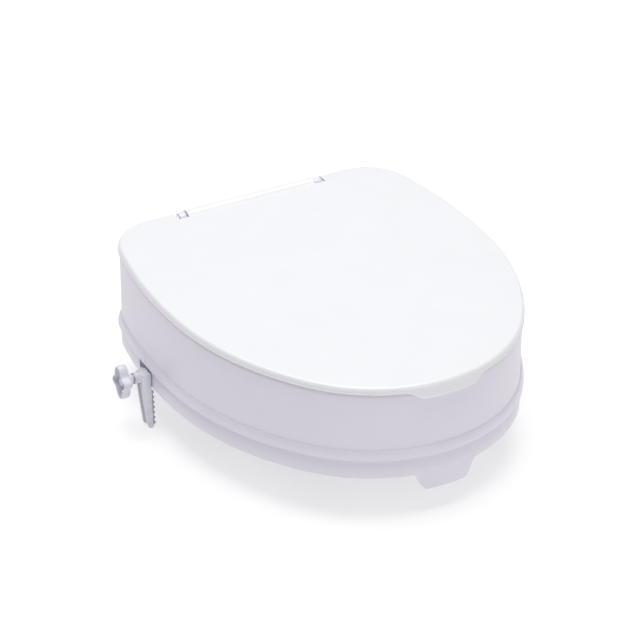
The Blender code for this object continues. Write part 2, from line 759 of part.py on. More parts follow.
def nut_holder(side, coll, mat):
    """Guide for the tongue and pocket for the nut, screwed to the ledge."""
    word = "right" if side > 0 else "left"
    bm = bmesh.new()
    bottom = LEDGE_TOP + FIT
    outline = [(-0.0240, bottom), (0.0240, bottom), (0.0240, bottom + 0.0030),
               (0.0145, bottom + 0.0030), (0.0135, 0.0712), (-0.0135, 0.0712),
               (-0.0145, bottom + 0.0030), (-0.0240, bottom + 0.0030)]
    prism(bm, outline, 0.1520, 0.1760, lambda u, v, d: (d, HOLDER_Y + u, v))
    mirror_side(bm, side)
    holder = add_object(f"nut_holder_{word}", bm, coll, mat)

    channel = bmesh.new()
    box(channel, (0.1500, TONGUE_FRONT - 0.0004, TONGUE_LOW - 0.0004),
        (0.1780, TONGUE_REAR + 0.0004, TONGUE_HIGH + 0.0004))
    mirror_side(channel, side)
    boolean(holder, "DIFFERENCE", cutter(f"tongue_channel_{word}", channel))

    pocket = bmesh.new()
    box(pocket, (0.1597, CLAMP_Y - 0.0053, bottom - 0.0020),
        (0.1653, CLAMP_Y + 0.0053, SCREW_Z + 0.0061))
    mirror_side(pocket, side)
    boolean(holder, "DIFFERENCE", cutter(f"nut_pocket_{word}", pocket))

    bore = bmesh.new()
    rod(bore, (0.1500, CLAMP_Y, SCREW_Z), (0.1780, CLAMP_Y, SCREW_Z), SCREW_RADIUS + FIT, 24)
    mirror_side(bore, side)
    boolean(holder, "DIFFERENCE", cutter(f"holder_bore_{word}", bore))

    holes = bmesh.new()
    for x, y in holder_screw_points(side):
        rod(holes, (x, y, bottom - 0.0020), (x, y, bottom + 0.0050), 0.0019, 16)
    boolean(holder, "DIFFERENCE", cutter(f"holder_holes_{word}", holes))
    return holder


def holder_screw(side, number, x, y, coll, mat):
    """Pan-head screw through the holder's flange into the ledge."""
    word = "right" if side > 0 else "left"
    top = LEDGE_TOP + FIT + 0.0030 + FIT
    sections = ((0.0486, 0.0011), (0.0492, 0.0016), (top, 0.0016), (top, 0.0032),
                (top + 0.0010, 0.0032), (top + 0.0019, 0.0024), (top + 0.0022, 0.0014))
    bm = bmesh.new()
    rings = []
    for z, radius in sections:
        rings.append([Vector((x + radius * math.cos(2 * math.pi * i / 20),
                              y + radius * math.sin(2 * math.pi * i / 20), z))
                      for i in range(20)])
    loft(bm, rings, rings_centre(rings[0]), rings_centre(rings[-1]))
    return add_object(f"holder_screw_{word}_{number}", bm, coll, mat)


# ---------------------------------------------------------------- assembly
def build():
    """Make every piece."""
    clear_scene()
    coll = make_collection(COLLECTION)
    make_collection(CUTTERS)
    shell = material("white_plastic", (0.85, 0.86, 0.88), 0.30)
    lid_white = material("lid_plastic", (0.90, 0.91, 0.92), 0.25)
    clamp_grey = material("clamp_plastic", (0.70, 0.71, 0.75), 0.40)
    rubber = material("grey_rubber", (0.09, 0.09, 0.10), 0.75)
    steel = material("zinc_steel", (0.60, 0.61, 0.62), 0.30, 1.0)

    seat_body(coll, shell)
    cover = lid(coll, lid_white)
    move_origin(cover, (0.0, HINGE_Y, HINGE_Z))
    for side in (-1, 1):
        hinge_pin(side, coll, clamp_grey)
    corners = ((-0.118, -0.105), (0.118, -0.105), (-0.150, 0.110), (0.150, 0.110))
    for number, (x, y) in enumerate(corners, 1):
        lid_buffer(number, x, y, coll, rubber)
    pads = ((-0.1080, -0.1330, -0.85), (0.1080, -0.1330, 0.85), (-0.1620, 0.0300, 1.571),
            (0.1620, 0.0300, 1.571))
    for number, (x, y, heading) in enumerate(pads, 1):
        rim_pad(number, x, y, heading, coll, rubber)
    for side in (-1, 1):
        bracket = clamp_bracket(side, coll, clamp_grey)
        move_origin(bracket, (side * WEB_IN, CLAMP_Y, SCREW_Z))
        grip_pad(side, coll, rubber)
        handle = knob(side, coll, clamp_grey)
        move_origin(handle, (side * KNOB_NECK, CLAMP_Y, SCREW_Z))
        knob_screw(side, coll, steel)
        knob_washer(side, coll, steel)
        clamp_nut(side, coll, steel)
        nut_holder(side, coll, clamp_grey)
        for number, (x, y) in enumerate(holder_screw_points(side), 1):
            holder_screw(side, number, x, y, coll, steel)


build()
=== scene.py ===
"""Looks of a raised toilet seat with a hinged lid and two screw clamps.

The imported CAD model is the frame: metres, +Z up, front at -Y, feet of the clamp arms at z = 0.
"""
import logging
import math
from collections.abc import Callable, Sequence
from dataclasses import dataclass, field
from enum import Enum
from typing import Any

import bmesh
import bpy
from mathutils import Matrix, Vector


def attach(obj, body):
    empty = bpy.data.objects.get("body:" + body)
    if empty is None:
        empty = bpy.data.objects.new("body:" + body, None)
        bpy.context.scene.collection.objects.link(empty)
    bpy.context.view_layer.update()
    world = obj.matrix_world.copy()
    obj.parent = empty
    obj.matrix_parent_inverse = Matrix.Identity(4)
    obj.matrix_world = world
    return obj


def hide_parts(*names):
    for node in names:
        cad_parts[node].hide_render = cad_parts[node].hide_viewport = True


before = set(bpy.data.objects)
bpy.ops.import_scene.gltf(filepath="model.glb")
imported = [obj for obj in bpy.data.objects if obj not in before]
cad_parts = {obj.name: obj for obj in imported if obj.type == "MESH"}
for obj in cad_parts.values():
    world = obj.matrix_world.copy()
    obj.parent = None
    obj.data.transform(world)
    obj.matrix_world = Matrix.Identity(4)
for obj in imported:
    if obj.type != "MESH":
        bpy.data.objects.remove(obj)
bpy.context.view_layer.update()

log = logging.getLogger("raised_toilet_seat")
Ring = list[Vector]
Height = Callable[[float, float], float]
Link = bpy.types.NodeSocket


class Side(Enum):
    """The two mirrored sides of the seat, as the sign of X."""

    LEFT = -1
    RIGHT = 1

    @property
    def word(self) -> str:
        """The side's name as the CAD nodes spell it."""
        return self.name.lower()


class Body(Enum):
    """The rigid bodies of the frame."""

    SEAT = "seat"
    LID = "lid"
    CLAMP = "clamp"
    KNOB = "knob"

    def on(self, side: Side) -> str:
        """The name of the body on one side."""
        return f"{self.value}_{side.word}"


class Slot(Enum):
    """The material slots of the record."""

    SEAT = "seat_shell"
    LID = "lid_shell"
    CLAMP = "clamp_plastic"
    RUBBER = "rubber"
    STEEL = "zinc_steel"


# ---------------------------------------------------------------- colour and nodes
def linear(code: str) -> tuple[float, float, float, float]:
    """Turn an sRGB hex colour into linear light.

    Args:
        code: Six hex digits with a leading hash.

    Returns:
        Linear red, green, blue and a full alpha.
    """
    values = []
    for start in (1, 3, 5):
        share = int(code[start:start + 2], 16) / 255.0
        values.append(share / 12.92 if share <= 0.04045 else ((share + 0.055) / 1.055) ** 2.4)
    return values[0], values[1], values[2], 1.0


def socket(sockets: Any, key: str) -> Link:
    """Find a socket by its identifier or its name.

    Args:
        sockets: A node's inputs or outputs.
        key: Identifier or name.

    Returns:
        The socket.
    """
    for item in sockets:
        if item.identifier == key:
            return item
    return sockets[key]


def add(tree: bpy.types.NodeTree, kind: str, settings: dict[str, Any] | None = None,
        links: dict[str, Link] | None = None) -> bpy.types.Node:
    """Add a node, set its settings and inputs, and link it.

    Args:
        tree: The node tree.
        kind: The node's type name.
        settings: Node attributes or input values by name.
        links: Input names with the outputs that feed them.

    Returns:
        The new node.
    """
    node = tree.nodes.new(kind)
    for name, value in (settings or {}).items():
        if hasattr(node, name):
            setattr(node, name, value)
    for name, value in (settings or {}).items():
        if not hasattr(node, name):
            socket(node.inputs, name).default_value = value
    for name, source in (links or {}).items():
        tree.links.new(source, socket(node.inputs, name))
    return node


def per_mm(size_mm: float) -> float:
    """Texture scale, in repeats per metre, for a feature of a real size in millimetres."""
    return 1000.0 / size_mm


def new_material(name: str) -> tuple[bpy.types.Material, bpy.types.NodeTree, Link]:
    """Start a material.

    Args:
        name: The material's name.

    Returns:
        The material, its empty tree with an output node, and the object coordinates.
    """
    material = bpy.data.materials.new(name)
    material.use_nodes = True
    tree = material.node_tree
    tree.nodes.clear()
    coordinates = add(tree, "ShaderNodeTexCoord")
    return material, tree, coordinates.outputs["Object"]


# ---------------------------------------------------------------- finishes
@dataclass(frozen=True)
class MouldedPlastic:
    """An injection-moulded thermoplastic.

    A polished or spark-eroded tool leaves a satin skin: broad soft highlights, a faint grain
    when seen close and slow swells where the wall shrank. Sharp convex edges, found by
    pointiness, are mixed a little paler: a painted highlight.
    """

    name: str
    colour: str
    shade: str
    edge_highlight: str
    roughness: float
    roughness_swing: float
    grain_mm: float
    grain_depth_mm: float
    swell_mm: float = 60.0
    swell_depth_mm: float = 0.02
    mottle_mm: float = 35.0
    ior: float = 1.49
    subsurface: float = 0.0

    def make(self) -> bpy.types.Material:
        """Build the material.

        Returns:
            The finished material.
        """
        material, tree, place = new_material(self.name)
        mottle = add(tree, "ShaderNodeTexNoise",
                     {"Scale": per_mm(self.mottle_mm), "Detail": 3.0, "Roughness": 0.55},
                     {"Vector": place})
        spread = add(tree, "ShaderNodeValToRGB", {}, {"Fac": mottle.outputs["Fac"]})
        spread.color_ramp.elements[0].position = 0.36
        spread.color_ramp.elements[0].color = linear(self.shade)
        spread.color_ramp.elements[1].position = 0.62
        spread.color_ramp.elements[1].color = linear(self.colour)
        curve = add(tree, "ShaderNodeNewGeometry")
        # painted highlight: sharp convex edges, found by pointiness, are mixed toward a paler
        # colour
        edge = add(tree, "ShaderNodeMapRange",
                   {"From Min": 0.53, "From Max": 0.62, "To Min": 0.0, "To Max": 0.6},
                   {"Value": curve.outputs["Pointiness"]})
        colour = add(tree, "ShaderNodeMix", {"data_type": "RGBA", "B_Color": linear(self.edge_highlight)},
                     {"Factor_Float": edge.outputs["Result"],
                      "A_Color": spread.outputs["Color"]})
        gloss = add(tree, "ShaderNodeMapRange",
                    {"To Min": self.roughness - self.roughness_swing,
                     "To Max": self.roughness + self.roughness_swing},
                    {"Value": mottle.outputs["Fac"]})
        swell = add(tree, "ShaderNodeTexNoise", {"Scale": per_mm(self.swell_mm), "Detail": 1.0},
                    {"Vector": place})
        slow = add(tree, "ShaderNodeBump", {"Distance": self.swell_depth_mm / 1000.0},
                   {"Height": swell.outputs["Fac"]})
        grain = add(tree, "ShaderNodeTexNoise",
                    {"Scale": per_mm(self.grain_mm), "Detail": 2.0, "Roughness": 0.6},
                    {"Vector": place})
        fine = add(tree, "ShaderNodeBump", {"Distance": self.grain_depth_mm / 1000.0},
                   {"Height": grain.outputs["Fac"], "Normal": slow.outputs["Normal"]})
        shader = add(tree, "ShaderNodeBsdfPrincipled",
                     {"IOR": self.ior, "Metallic": 0.0, "Subsurface Weight": self.subsurface,
                      "Subsurface Scale": 0.002},
                     {"Base Color": socket(colour.outputs, "Result_Color"),
                      "Roughness": gloss.outputs["Result"], "Normal": fine.outputs["Normal"]})
        add(tree, "ShaderNodeOutputMaterial", {}, {"Surface": shader.outputs["BSDF"]})
        return material


@dataclass(frozen=True)
class MouldedRubber:
    """Compression-moulded soft rubber.

    The open, dusty skin scatters light almost evenly, so it looks flat and greyer on its
    high spots, with a fine pebble from the mould.
    """

    name: str
    colour: str
    dust: str
    roughness: float = 0.78
    pebble_mm: float = 0.55
    pebble_depth_mm: float = 0.05
    dust_mm: float = 6.0
    ior: float = 1.52

    def make(self) -> bpy.types.Material:
        """Build the material.

        Returns:
            The finished material.
        """
        material, tree, place = new_material(self.name)
        patches = add(tree, "ShaderNodeTexNoise",
                      {"Scale": per_mm(self.dust_mm), "Detail": 4.0, "Roughness": 0.6},
                      {"Vector": place})
        amount = add(tree, "ShaderNodeMapRange",
                     {"From Min": 0.42, "From Max": 0.68, "To Min": 0.0, "To Max": 0.7},
                     {"Value": patches.outputs["Fac"]})
        colour = add(tree, "ShaderNodeMix",
                     {"data_type": "RGBA", "A_Color": linear(self.colour),
                      "B_Color": linear(self.dust)},
                     {"Factor_Float": amount.outputs["Result"]})
        dull = add(tree, "ShaderNodeMapRange",
                   {"To Min": self.roughness - 0.06, "To Max": self.roughness + 0.08},
                   {"Value": patches.outputs["Fac"]})
        pebble = add(tree, "ShaderNodeTexVoronoi", {"Scale": per_mm(self.pebble_mm)},
                     {"Vector": place})
        skin = add(tree, "ShaderNodeBump", {"Distance": self.pebble_depth_mm / 1000.0},
                   {"Height": pebble.outputs["Distance"]})
        shader = add(tree, "ShaderNodeBsdfPrincipled", {"IOR": self.ior, "Metallic": 0.0},
                     {"Base Color": socket(colour.outputs, "Result_Color"),
                      "Roughness": dull.outputs["Result"], "Normal": skin.outputs["Normal"]})
        add(tree, "ShaderNodeOutputMaterial", {}, {"Surface": shader.outputs["BSDF"]})
        return material


@dataclass(frozen=True)
class ZincPlatedSteel:
    """Turned steel, electroplated with bright zinc.

    The plating is a cool grey mirror broken by turning lines and by cloudy passivation, with
    a faint straw tint in places.
    """

    name: str
    colour: str
    tint: str
    roughness: float = 0.30
    cloud_mm: float = 3.0
    turning_mm: float = 0.35
    turning_depth_mm: float = 0.010

    def make(self) -> bpy.types.Material:
        """Build the material.

        Returns:
            The finished material.
        """
        material, tree, place = new_material(self.name)
        cloud = add(tree, "ShaderNodeTexNoise",
                    {"Scale": per_mm(self.cloud_mm), "Detail": 4.0, "Roughness": 0.6},
                    {"Vector": place})
        amount = add(tree, "ShaderNodeMapRange",
                     {"From Min": 0.40, "From Max": 0.70, "To Min": 0.0, "To Max": 0.8},
                     {"Value": cloud.outputs["Fac"]})
        colour = add(tree, "ShaderNodeMix",
                     {"data_type": "RGBA", "A_Color": linear(self.colour),
                      "B_Color": linear(self.tint)},
                     {"Factor_Float": amount.outputs["Result"]})
        gloss = add(tree, "ShaderNodeMapRange",
                    {"To Min": self.roughness - 0.06, "To Max": self.roughness + 0.12},
                    {"Value": cloud.outputs["Fac"]})
        lines = add(tree, "ShaderNodeTexWave",
                    {"wave_type": "BANDS", "bands_direction": "X",
                     "Scale": per_mm(self.turning_mm) * math.pi / 10.0, "Distortion": 0.6,
                     "Detail": 2.0},
                    {"Vector": place})
        skin = add(tree, "ShaderNodeBump", {"Distance": self.turning_depth_mm / 1000.0},
                   {"Height": lines.outputs["Fac"]})
        shader = add(tree, "ShaderNodeBsdfPrincipled", {"Metallic": 1.0},
                     {"Base Color": socket(colour.outputs, "Result_Color"),
                      "Roughness": gloss.outputs["Result"], "Normal": skin.outputs["Normal"]})
        add(tree, "ShaderNodeOutputMaterial", {}, {"Surface": shader.outputs["BSDF"]})
        return material


@dataclass(frozen=True)
class PaintedFloor:
    """A matt-painted studio floor lit through from below: pale, even, a trace of stipple."""

    name: str
    colour: str
    shade: str
    glow: float = 0.56
    stipple_mm: float = 2.0

    def make(self) -> bpy.types.Material:
        """Build the material.

        Returns:
            The finished material.
        """
        material, tree, place = new_material(self.name)
        tone = add(tree, "ShaderNodeTexNoise", {"Scale": per_mm(400.0), "Detail": 2.0},
                   {"Vector": place})
        colour = add(tree, "ShaderNodeMix",
                     {"data_type": "RGBA", "A_Color": linear(self.shade),
                      "B_Color": linear(self.colour)},
                     {"Factor_Float": tone.outputs["Fac"]})
        stipple = add(tree, "ShaderNodeTexNoise", {"Scale": per_mm(self.stipple_mm)},
                      {"Vector": place})
        skin = add(tree, "ShaderNodeBump", {"Distance": 0.00005},
                   {"Height": stipple.outputs["Fac"]})
        shader = add(tree, "ShaderNodeBsdfPrincipled",
                     {"Roughness": 0.9, "Metallic": 0.0, "Emission Strength": self.glow,
                      "Emission Color": linear("#FFFFFF")},
                     {"Base Color": socket(colour.outputs, "Result_Color"),
                      "Normal": skin.outputs["Normal"]})
        add(tree, "ShaderNodeOutputMaterial", {}, {"Surface": shader.outputs["BSDF"]})
        return material


@dataclass(frozen=True)
class Palette:
    """Every finish of the seat, made once."""

    shell: bpy.types.Material
    lid: bpy.types.Material
    clamp: bpy.types.Material
    grip: bpy.types.Material
    pad: bpy.types.Material
    steel: bpy.types.Material
    floor: bpy.types.Material


def make_palette() -> Palette:
    """Make the finishes.

    Returns:
        The palette.
    """
    # the fourth colour of each moulded plastic is the painted highlight on its convex edges
    return Palette(
        # polypropylene from a lightly textured tool: satin, a touch cool, and a little darker than
        # the lid as painted shade for the seat's walls
        shell=MouldedPlastic("polypropylene_moulded_satin", "#E2DEEA", "#E1DDE9", "#EAE8F1",
                             0.36, 0.03, 0.45, 0.010).make(),
        # polypropylene from a polished tool: smoother than the shell, and whiter only because the
        # shell's colour carries painted shade
        lid=MouldedPlastic("polypropylene_moulded_polished", "#E6E7EA", "#E5E6E9", "#EEEFF1",
                           0.30, 0.03, 0.45, 0.006).make(),
        # glass-filled nylon: drier, with a coarser grain where the fibres reach the skin
        clamp=MouldedPlastic("glass_filled_nylon_moulded_matt", "#DCDDE4", "#D2D3DB", "#E8E9EE",
                             0.48, 0.06, 0.70, 0.030, mottle_mm=9.0, ior=1.53).make(),
        # grip strip: its grey is painted shade that stands in for the dark between the teeth
        grip=MouldedRubber("thermoplastic_rubber_moulded_grey", "#A9A8B0", "#B6B5BC").make(),
        pad=MouldedRubber("soft_rubber_moulded_dark", "#6E6F75", "#8A8B90").make(),
        steel=ZincPlatedSteel("steel_zinc_plated_bright", "#C9CCD1", "#BDB9A9").make(),
        floor=PaintedFloor("floor_paint_matt_white", "#BABABA", "#B8B8B8").make())


# ---------------------------------------------------------------- mesh work
def smoothstep(value: float) -> float:
    """Ease from 0 to 1 with level ends."""
    value = min(max(value, 0.0), 1.0)
    return value * value * (3.0 - 2.0 * value)


def quarter(steps: int) -> list[tuple[float, float]]:
    """Points of a quarter circle.

    Args:
        steps: Number of segments.

    Returns:
        Pairs of (1 - cos, 1 - sin) from 0 to 90 degrees.
    """
    pairs = []
    for step in range(steps + 1):
        angle = math.pi / 2.0 * step / steps
        pairs.append((1.0 - math.cos(angle), 1.0 - math.sin(angle)))
    return pairs


def loft(mesh: bmesh.types.BMesh, rings: Sequence[Ring], closed: bool = False,
         cap_start: Sequence[float] | None = None, cap_end: Sequence[float] | None = None) -> None:
    """Skin rings of equal count with quads.

    Args:
        mesh: The mesh to fill.
        rings: The rings in order.
        closed: Whether the last ring joins the first.
        cap_start: Hub point of a fan over the first ring.
        cap_end: Hub point of a fan over the last ring.
    """
    loops = [[mesh.verts.new(point) for point in ring] for ring in rings]
    pairs = list(zip(loops, loops[1:]))
    if closed:
        pairs.append((loops[-1], loops[0]))
    for first, second in pairs:
        for i, vert in enumerate(first):
            j = (i + 1) % len(first)
            mesh.faces.new((vert, first[j], second[j], second[i]))
    for loop, centre in ((loops[0], cap_start), (loops[-1], cap_end)):
        if centre is None:
            continue
        hub = mesh.verts.new(centre)
        for i, vert in enumerate(loop):
            mesh.faces.new((vert, loop[(i + 1) % len(loop)], hub))


def prism(mesh: bmesh.types.BMesh, outline: Sequence[tuple[float, float]], start: float,
          end: float, place: Callable[[float, float, float], tuple[float, float, float]]) -> None:
    """Push a flat outline from one depth to another.

    Args:
        mesh: The mesh to fill.
        outline: The outline's points.
        start: First depth.
        end: Last depth.
        place: Maps (u, v, depth) to a point.
    """
    first = [mesh.verts.new(place(u, v, start)) for u, v in outline]
    second = [mesh.verts.new(place(u, v, end)) for u, v in outline]
    mesh.faces.new(first)
    mesh.faces.new(second[::-1])
    for i, vert in enumerate(first):
        j = (i + 1) % len(first)
        mesh.faces.new((first[j], vert, second[i], second[j]))


def block(low: Sequence[float], high: Sequence[float], edge: float = 0.0) -> bmesh.types.BMesh:
    """Make a rectangular block with eased edges.

    Args:
        low: Lowest corner.
        high: Highest corner.
        edge: Radius of the edges.

    Returns:
        The mesh.
    """
    mesh = bmesh.new()
    centre = (Vector(low) + Vector(high)) / 2.0
    size = Vector(high) - Vector(low)
    place = Matrix.Translation(centre) @ Matrix.Diagonal((*size, 1.0))
    bmesh.ops.create_cube(mesh, size=1.0, matrix=place)
    ease(mesh, edge)
    return mesh


def ease(mesh: bmesh.types.BMesh, radius: float, above: float = 30.0, steps: int = 3) -> None:
    """Round every edge sharper than an angle.

    Args:
        mesh: The mesh to change.
        radius: Radius of the rounding; nothing happens at zero.
        above: Angle in degrees over which an edge is rounded.
        steps: Segments of the rounding.
    """
    if radius <= 0.0:
        return
    bmesh.ops.recalc_face_normals(mesh, faces=mesh.faces)
    sharp = [edge for edge in mesh.edges
             if edge.is_manifold and edge.calc_face_angle(0.0) > math.radians(above)]
    bmesh.ops.bevel(mesh, geom=sharp, offset=radius, segments=steps, profile=0.5,
                    affect="EDGES", clamp_overlap=True)


def around_x(x: float, centre: tuple[float, float], radius: float, count: int) -> Ring:
    """A ring round an axis along X.

    Args:
        x: Place along the axis.
        centre: Y and Z of the axis.
        radius: The radius.
        count: Number of points.

    Returns:
        The ring.
    """
    ring = []
    for i in range(count):
        angle = 2.0 * math.pi * i / count
        ring.append(Vector((x, centre[0] + radius * math.cos(angle),
                            centre[1] + radius * math.sin(angle))))
    return ring


def turned_x(sections: Sequence[tuple[float, float]], centre: tuple[float, float],
             count: int) -> bmesh.types.BMesh:
    """Turn a profile round an axis along X.

    Args:
        sections: (x, radius) pairs from end to end.
        centre: Y and Z of the axis.
        count: Points round the axis.

    Returns:
        The mesh.
    """
    mesh = bmesh.new()
    rings = [around_x(x, centre, radius, count) for x, radius in sections]
    loft(mesh, rings, cap_start=(sections[0][0], *centre), cap_end=(sections[-1][0], *centre))
    return mesh


def upright_hole(place: Sequence[float]) -> bmesh.types.BMesh:
    """The clearance hole of a nut holder's screw, as a solid to remove.

    Args:
        place: Its centre.

    Returns:
        The mesh.
    """
    mesh = bmesh.new()
    bmesh.ops.create_cone(mesh, cap_ends=True, segments=32, radius1=0.0019, radius2=0.0019,
                          depth=0.0070, matrix=Matrix.Translation(place))
    return mesh


def mirrored(mesh: bmesh.types.BMesh, side: Side) -> bmesh.types.BMesh:
    """Mirror a right-hand mesh when it is wanted on the left.

    Args:
        mesh: The mesh, made for the right.
        side: The side wanted.

    Returns:
        The same mesh.
    """
    if side is Side.LEFT:
        bmesh.ops.scale(mesh, vec=(-1.0, 1.0, 1.0), verts=mesh.verts)
        bmesh.ops.reverse_faces(mesh, faces=mesh.faces)
    return mesh


def solid(name: str, mesh: bmesh.types.BMesh) -> bpy.types.Object:
    """Turn a mesh under construction into an object.

    Args:
        name: The object's name.
        mesh: The mesh; it is freed.

    Returns:
        The object.
    """
    bmesh.ops.remove_doubles(mesh, verts=mesh.verts, dist=1e-7)
    bmesh.ops.recalc_face_normals(mesh, faces=mesh.faces)
    data = bpy.data.meshes.new(name)
    mesh.to_mesh(data)
    mesh.free()
    piece = bpy.data.objects.new(name, data)
    bpy.context.scene.collection.objects.link(piece)
    return piece


def cut_and_join(piece: bpy.types.Object, joined: Sequence[bmesh.types.BMesh] = (),
                 cut: Sequence[bmesh.types.BMesh] = ()) -> None:
    """Fuse solids to a piece and cut others from it.

    Args:
        piece: The piece to change.
        joined: Solids to fuse.
        cut: Solids to remove.
    """
    tools = []
    for operation, meshes in (("UNION", joined), ("DIFFERENCE", cut)):
        for mesh in meshes:
            tool = solid("tool", mesh)
            tools.append(tool)
            step = piece.modifiers.new(operation.lower(), "BOOLEAN")
            step.solver = "EXACT"
            step.operation = operation
            step.object = tool
    bpy.context.view_layer.update()
    shaped = piece.evaluated_get(bpy.context.evaluated_depsgraph_get())
    result = bpy.data.meshes.new_from_object(shaped)
    piece.modifiers.clear()
    old = piece.data
    piece.data = result
    result.name = piece.name
    bpy.data.meshes.remove(old)
    for tool in tools:
        data = tool.data
        bpy.data.objects.remove(tool)
        bpy.data.meshes.remove(data)


def dress(piece: bpy.types.Object, finish: bpy.types.Material, body: str,
          nodes: Sequence[str], smooth: float = 32.0) -> bpy.types.Object:
    """Give a piece its finish and its place in the frame.

    Args:
        piece: The piece.
        finish: Its material.
        body: The body it rides on.
        nodes: The CAD nodes it replaces.
        smooth: Angle in degrees under which edges are shaded smooth.

    Returns:
        The piece.
    """
    piece.data.materials.clear()
    piece.data.materials.append(finish)
    piece.data.shade_smooth()
    piece.data.set_sharp_from_angle(angle=math.radians(smooth))
    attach(piece, body)
    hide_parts(*nodes)
    log.info("%s: %d faces, on %s", piece.name, len(piece.data.polygons), body)
    return piece


# ---------------------------------------------------------------- plan outline
@dataclass(frozen=True)
class Arc:
    """One arc of the plan outline: radius, heading reached in degrees, segments."""

    radius: float
    heading: float
    segments: int


@dataclass
class Plan:
    """The egg-shaped outline of the wall in plan, and of the aperture inside it."""

    half_depth: float = 0.2053
    arcs: tuple[Arc, ...] = (Arc(0.157, 22.0, 56), Arc(0.157, 52.3, 24), Arc(0.288, 85.8, 30),
                             Arc(0.524, 102.7, 28), Arc(0.053, 180.0, 30))
    rear_segments: int = 40
    aperture_half: tuple[float, float] = (0.105, 0.135)
    aperture_y: float = -0.018
    aperture_aim: float = 0.185
    lip: float = 0.1515
    slope: float = 0.0346
    seat_over_lip: float = 0.0020
    rear_drop: float = 0.0100
    points: list[tuple[Vector, Vector]] = field(default_factory=list)

    def __post_init__(self) -> None:
        """Walk the outline once."""
        right = self.half()
        left = [(Vector((-p.x, p.y)), Vector((-n.x, n.y))) for p, n in right[1:-1]]
        self.points = right + left[::-1]

    def half(self) -> list[tuple[Vector, Vector]]:
        """Walk the right half from the front centre to the rear centre.

        Returns:
            Points with their outward normals.
        """
        point = Vector((0.0, -self.half_depth))
        heading = 0.0
        walk = [(point.copy(), Vector((0.0, -1.0)))]
        for arc in self.arcs:
            step = (math.radians(arc.heading) - heading) / arc.segments
            for _ in range(arc.segments):
                chord = 2.0 * arc.radius * math.sin(step / 2.0)
                middle = heading + step / 2.0
                point = point + chord * Vector((math.cos(middle), math.sin(middle)))
                heading += step
                walk.append((point.copy(), Vector((math.sin(heading), -math.cos(heading)))))
        half_rear = point.x
        for i in range(1, self.rear_segments + 1):
            x = half_rear * (1.0 - i / self.rear_segments)
            walk.append((Vector((x, point.y)), Vector((0.0, 1.0))))
        return walk

    def wall(self, offset: float) -> Ring:
        """The wall outline pushed outward by an offset."""
        return [point + normal * offset for point, normal in self.points]

    def aperture(self, offset: float) -> Ring:
        """The aperture outline pushed outward, matched point for point to the wall.

        Args:
            offset: Distance outward.

        Returns:
            The ring.
        """
        wide, long = self.aperture_half
        ring = []
        for point, _ in self.points:
            angle = math.atan2(point.x / self.aperture_aim, -point.y / self.half_depth)
            x = wide * math.sin(angle)
            y = -long * math.cos(angle)
            normal = Vector((x / wide ** 2, y / long ** 2)).normalized()
            ring.append(Vector((x, y + self.aperture_y)) + normal * offset)
        return ring

    def lip_height(self, x: float, y: float) -> float:
        """Height of the sloping plane of the lid's lower edge."""
        return self.lip + self.slope * y

    def seat_height(self, x: float, y: float) -> float:
        """Height of the seat's rim, stepped down under the hinge."""
        step = self.rear_drop * smoothstep((y - 0.187) / 0.012)
        return self.lip_height(x, y) + self.seat_over_lip - step


def level(ring: Ring, height: float) -> Ring:
    """A flat ring at one height."""
    return [Vector((point.x, point.y, height)) for point in ring]


def follow(ring: Ring, height: Height, shift: float) -> Ring:
    """A ring laid on a height function, then shifted."""
    return [Vector((point.x, point.y, height(point.x, point.y) + shift)) for point in ring]


def between(first: Ring, second: Ring, share: float) -> Ring:
    """A ring part of the way from one to another."""
    return [a.lerp(b, share) for a, b in zip(first, second)]


# ---------------------------------------------------------------- hinge line
@dataclass
class Hinge:
    """Sizes shared by the lid's barrel and the seat's ears."""

    y: float = 0.2000
    z: float = 0.1603
    barrel_radius: float = 0.0080
    barrel_half: float = 0.0770
    gap: float = 0.0012
    ear_width: float = 0.0080
    ear_radius: float = 0.0065
    ear_foot: float = 0.1400
    pin_radius: float = 0.0029
    fit: float = 0.0003

    @property
    def axis(self) -> tuple[float, float]:
        """Y and Z of the hinge axis."""
        return self.y, self.z

    def bore(self, side: Side, start: float, end: float) -> bmesh.types.BMesh:
        """A bore on the axis, from one X to another on a side."""
        radius = self.pin_radius + self.fit
        return mirrored(turned_x(((start, radius), (end, radius)), self.axis, 40), side)


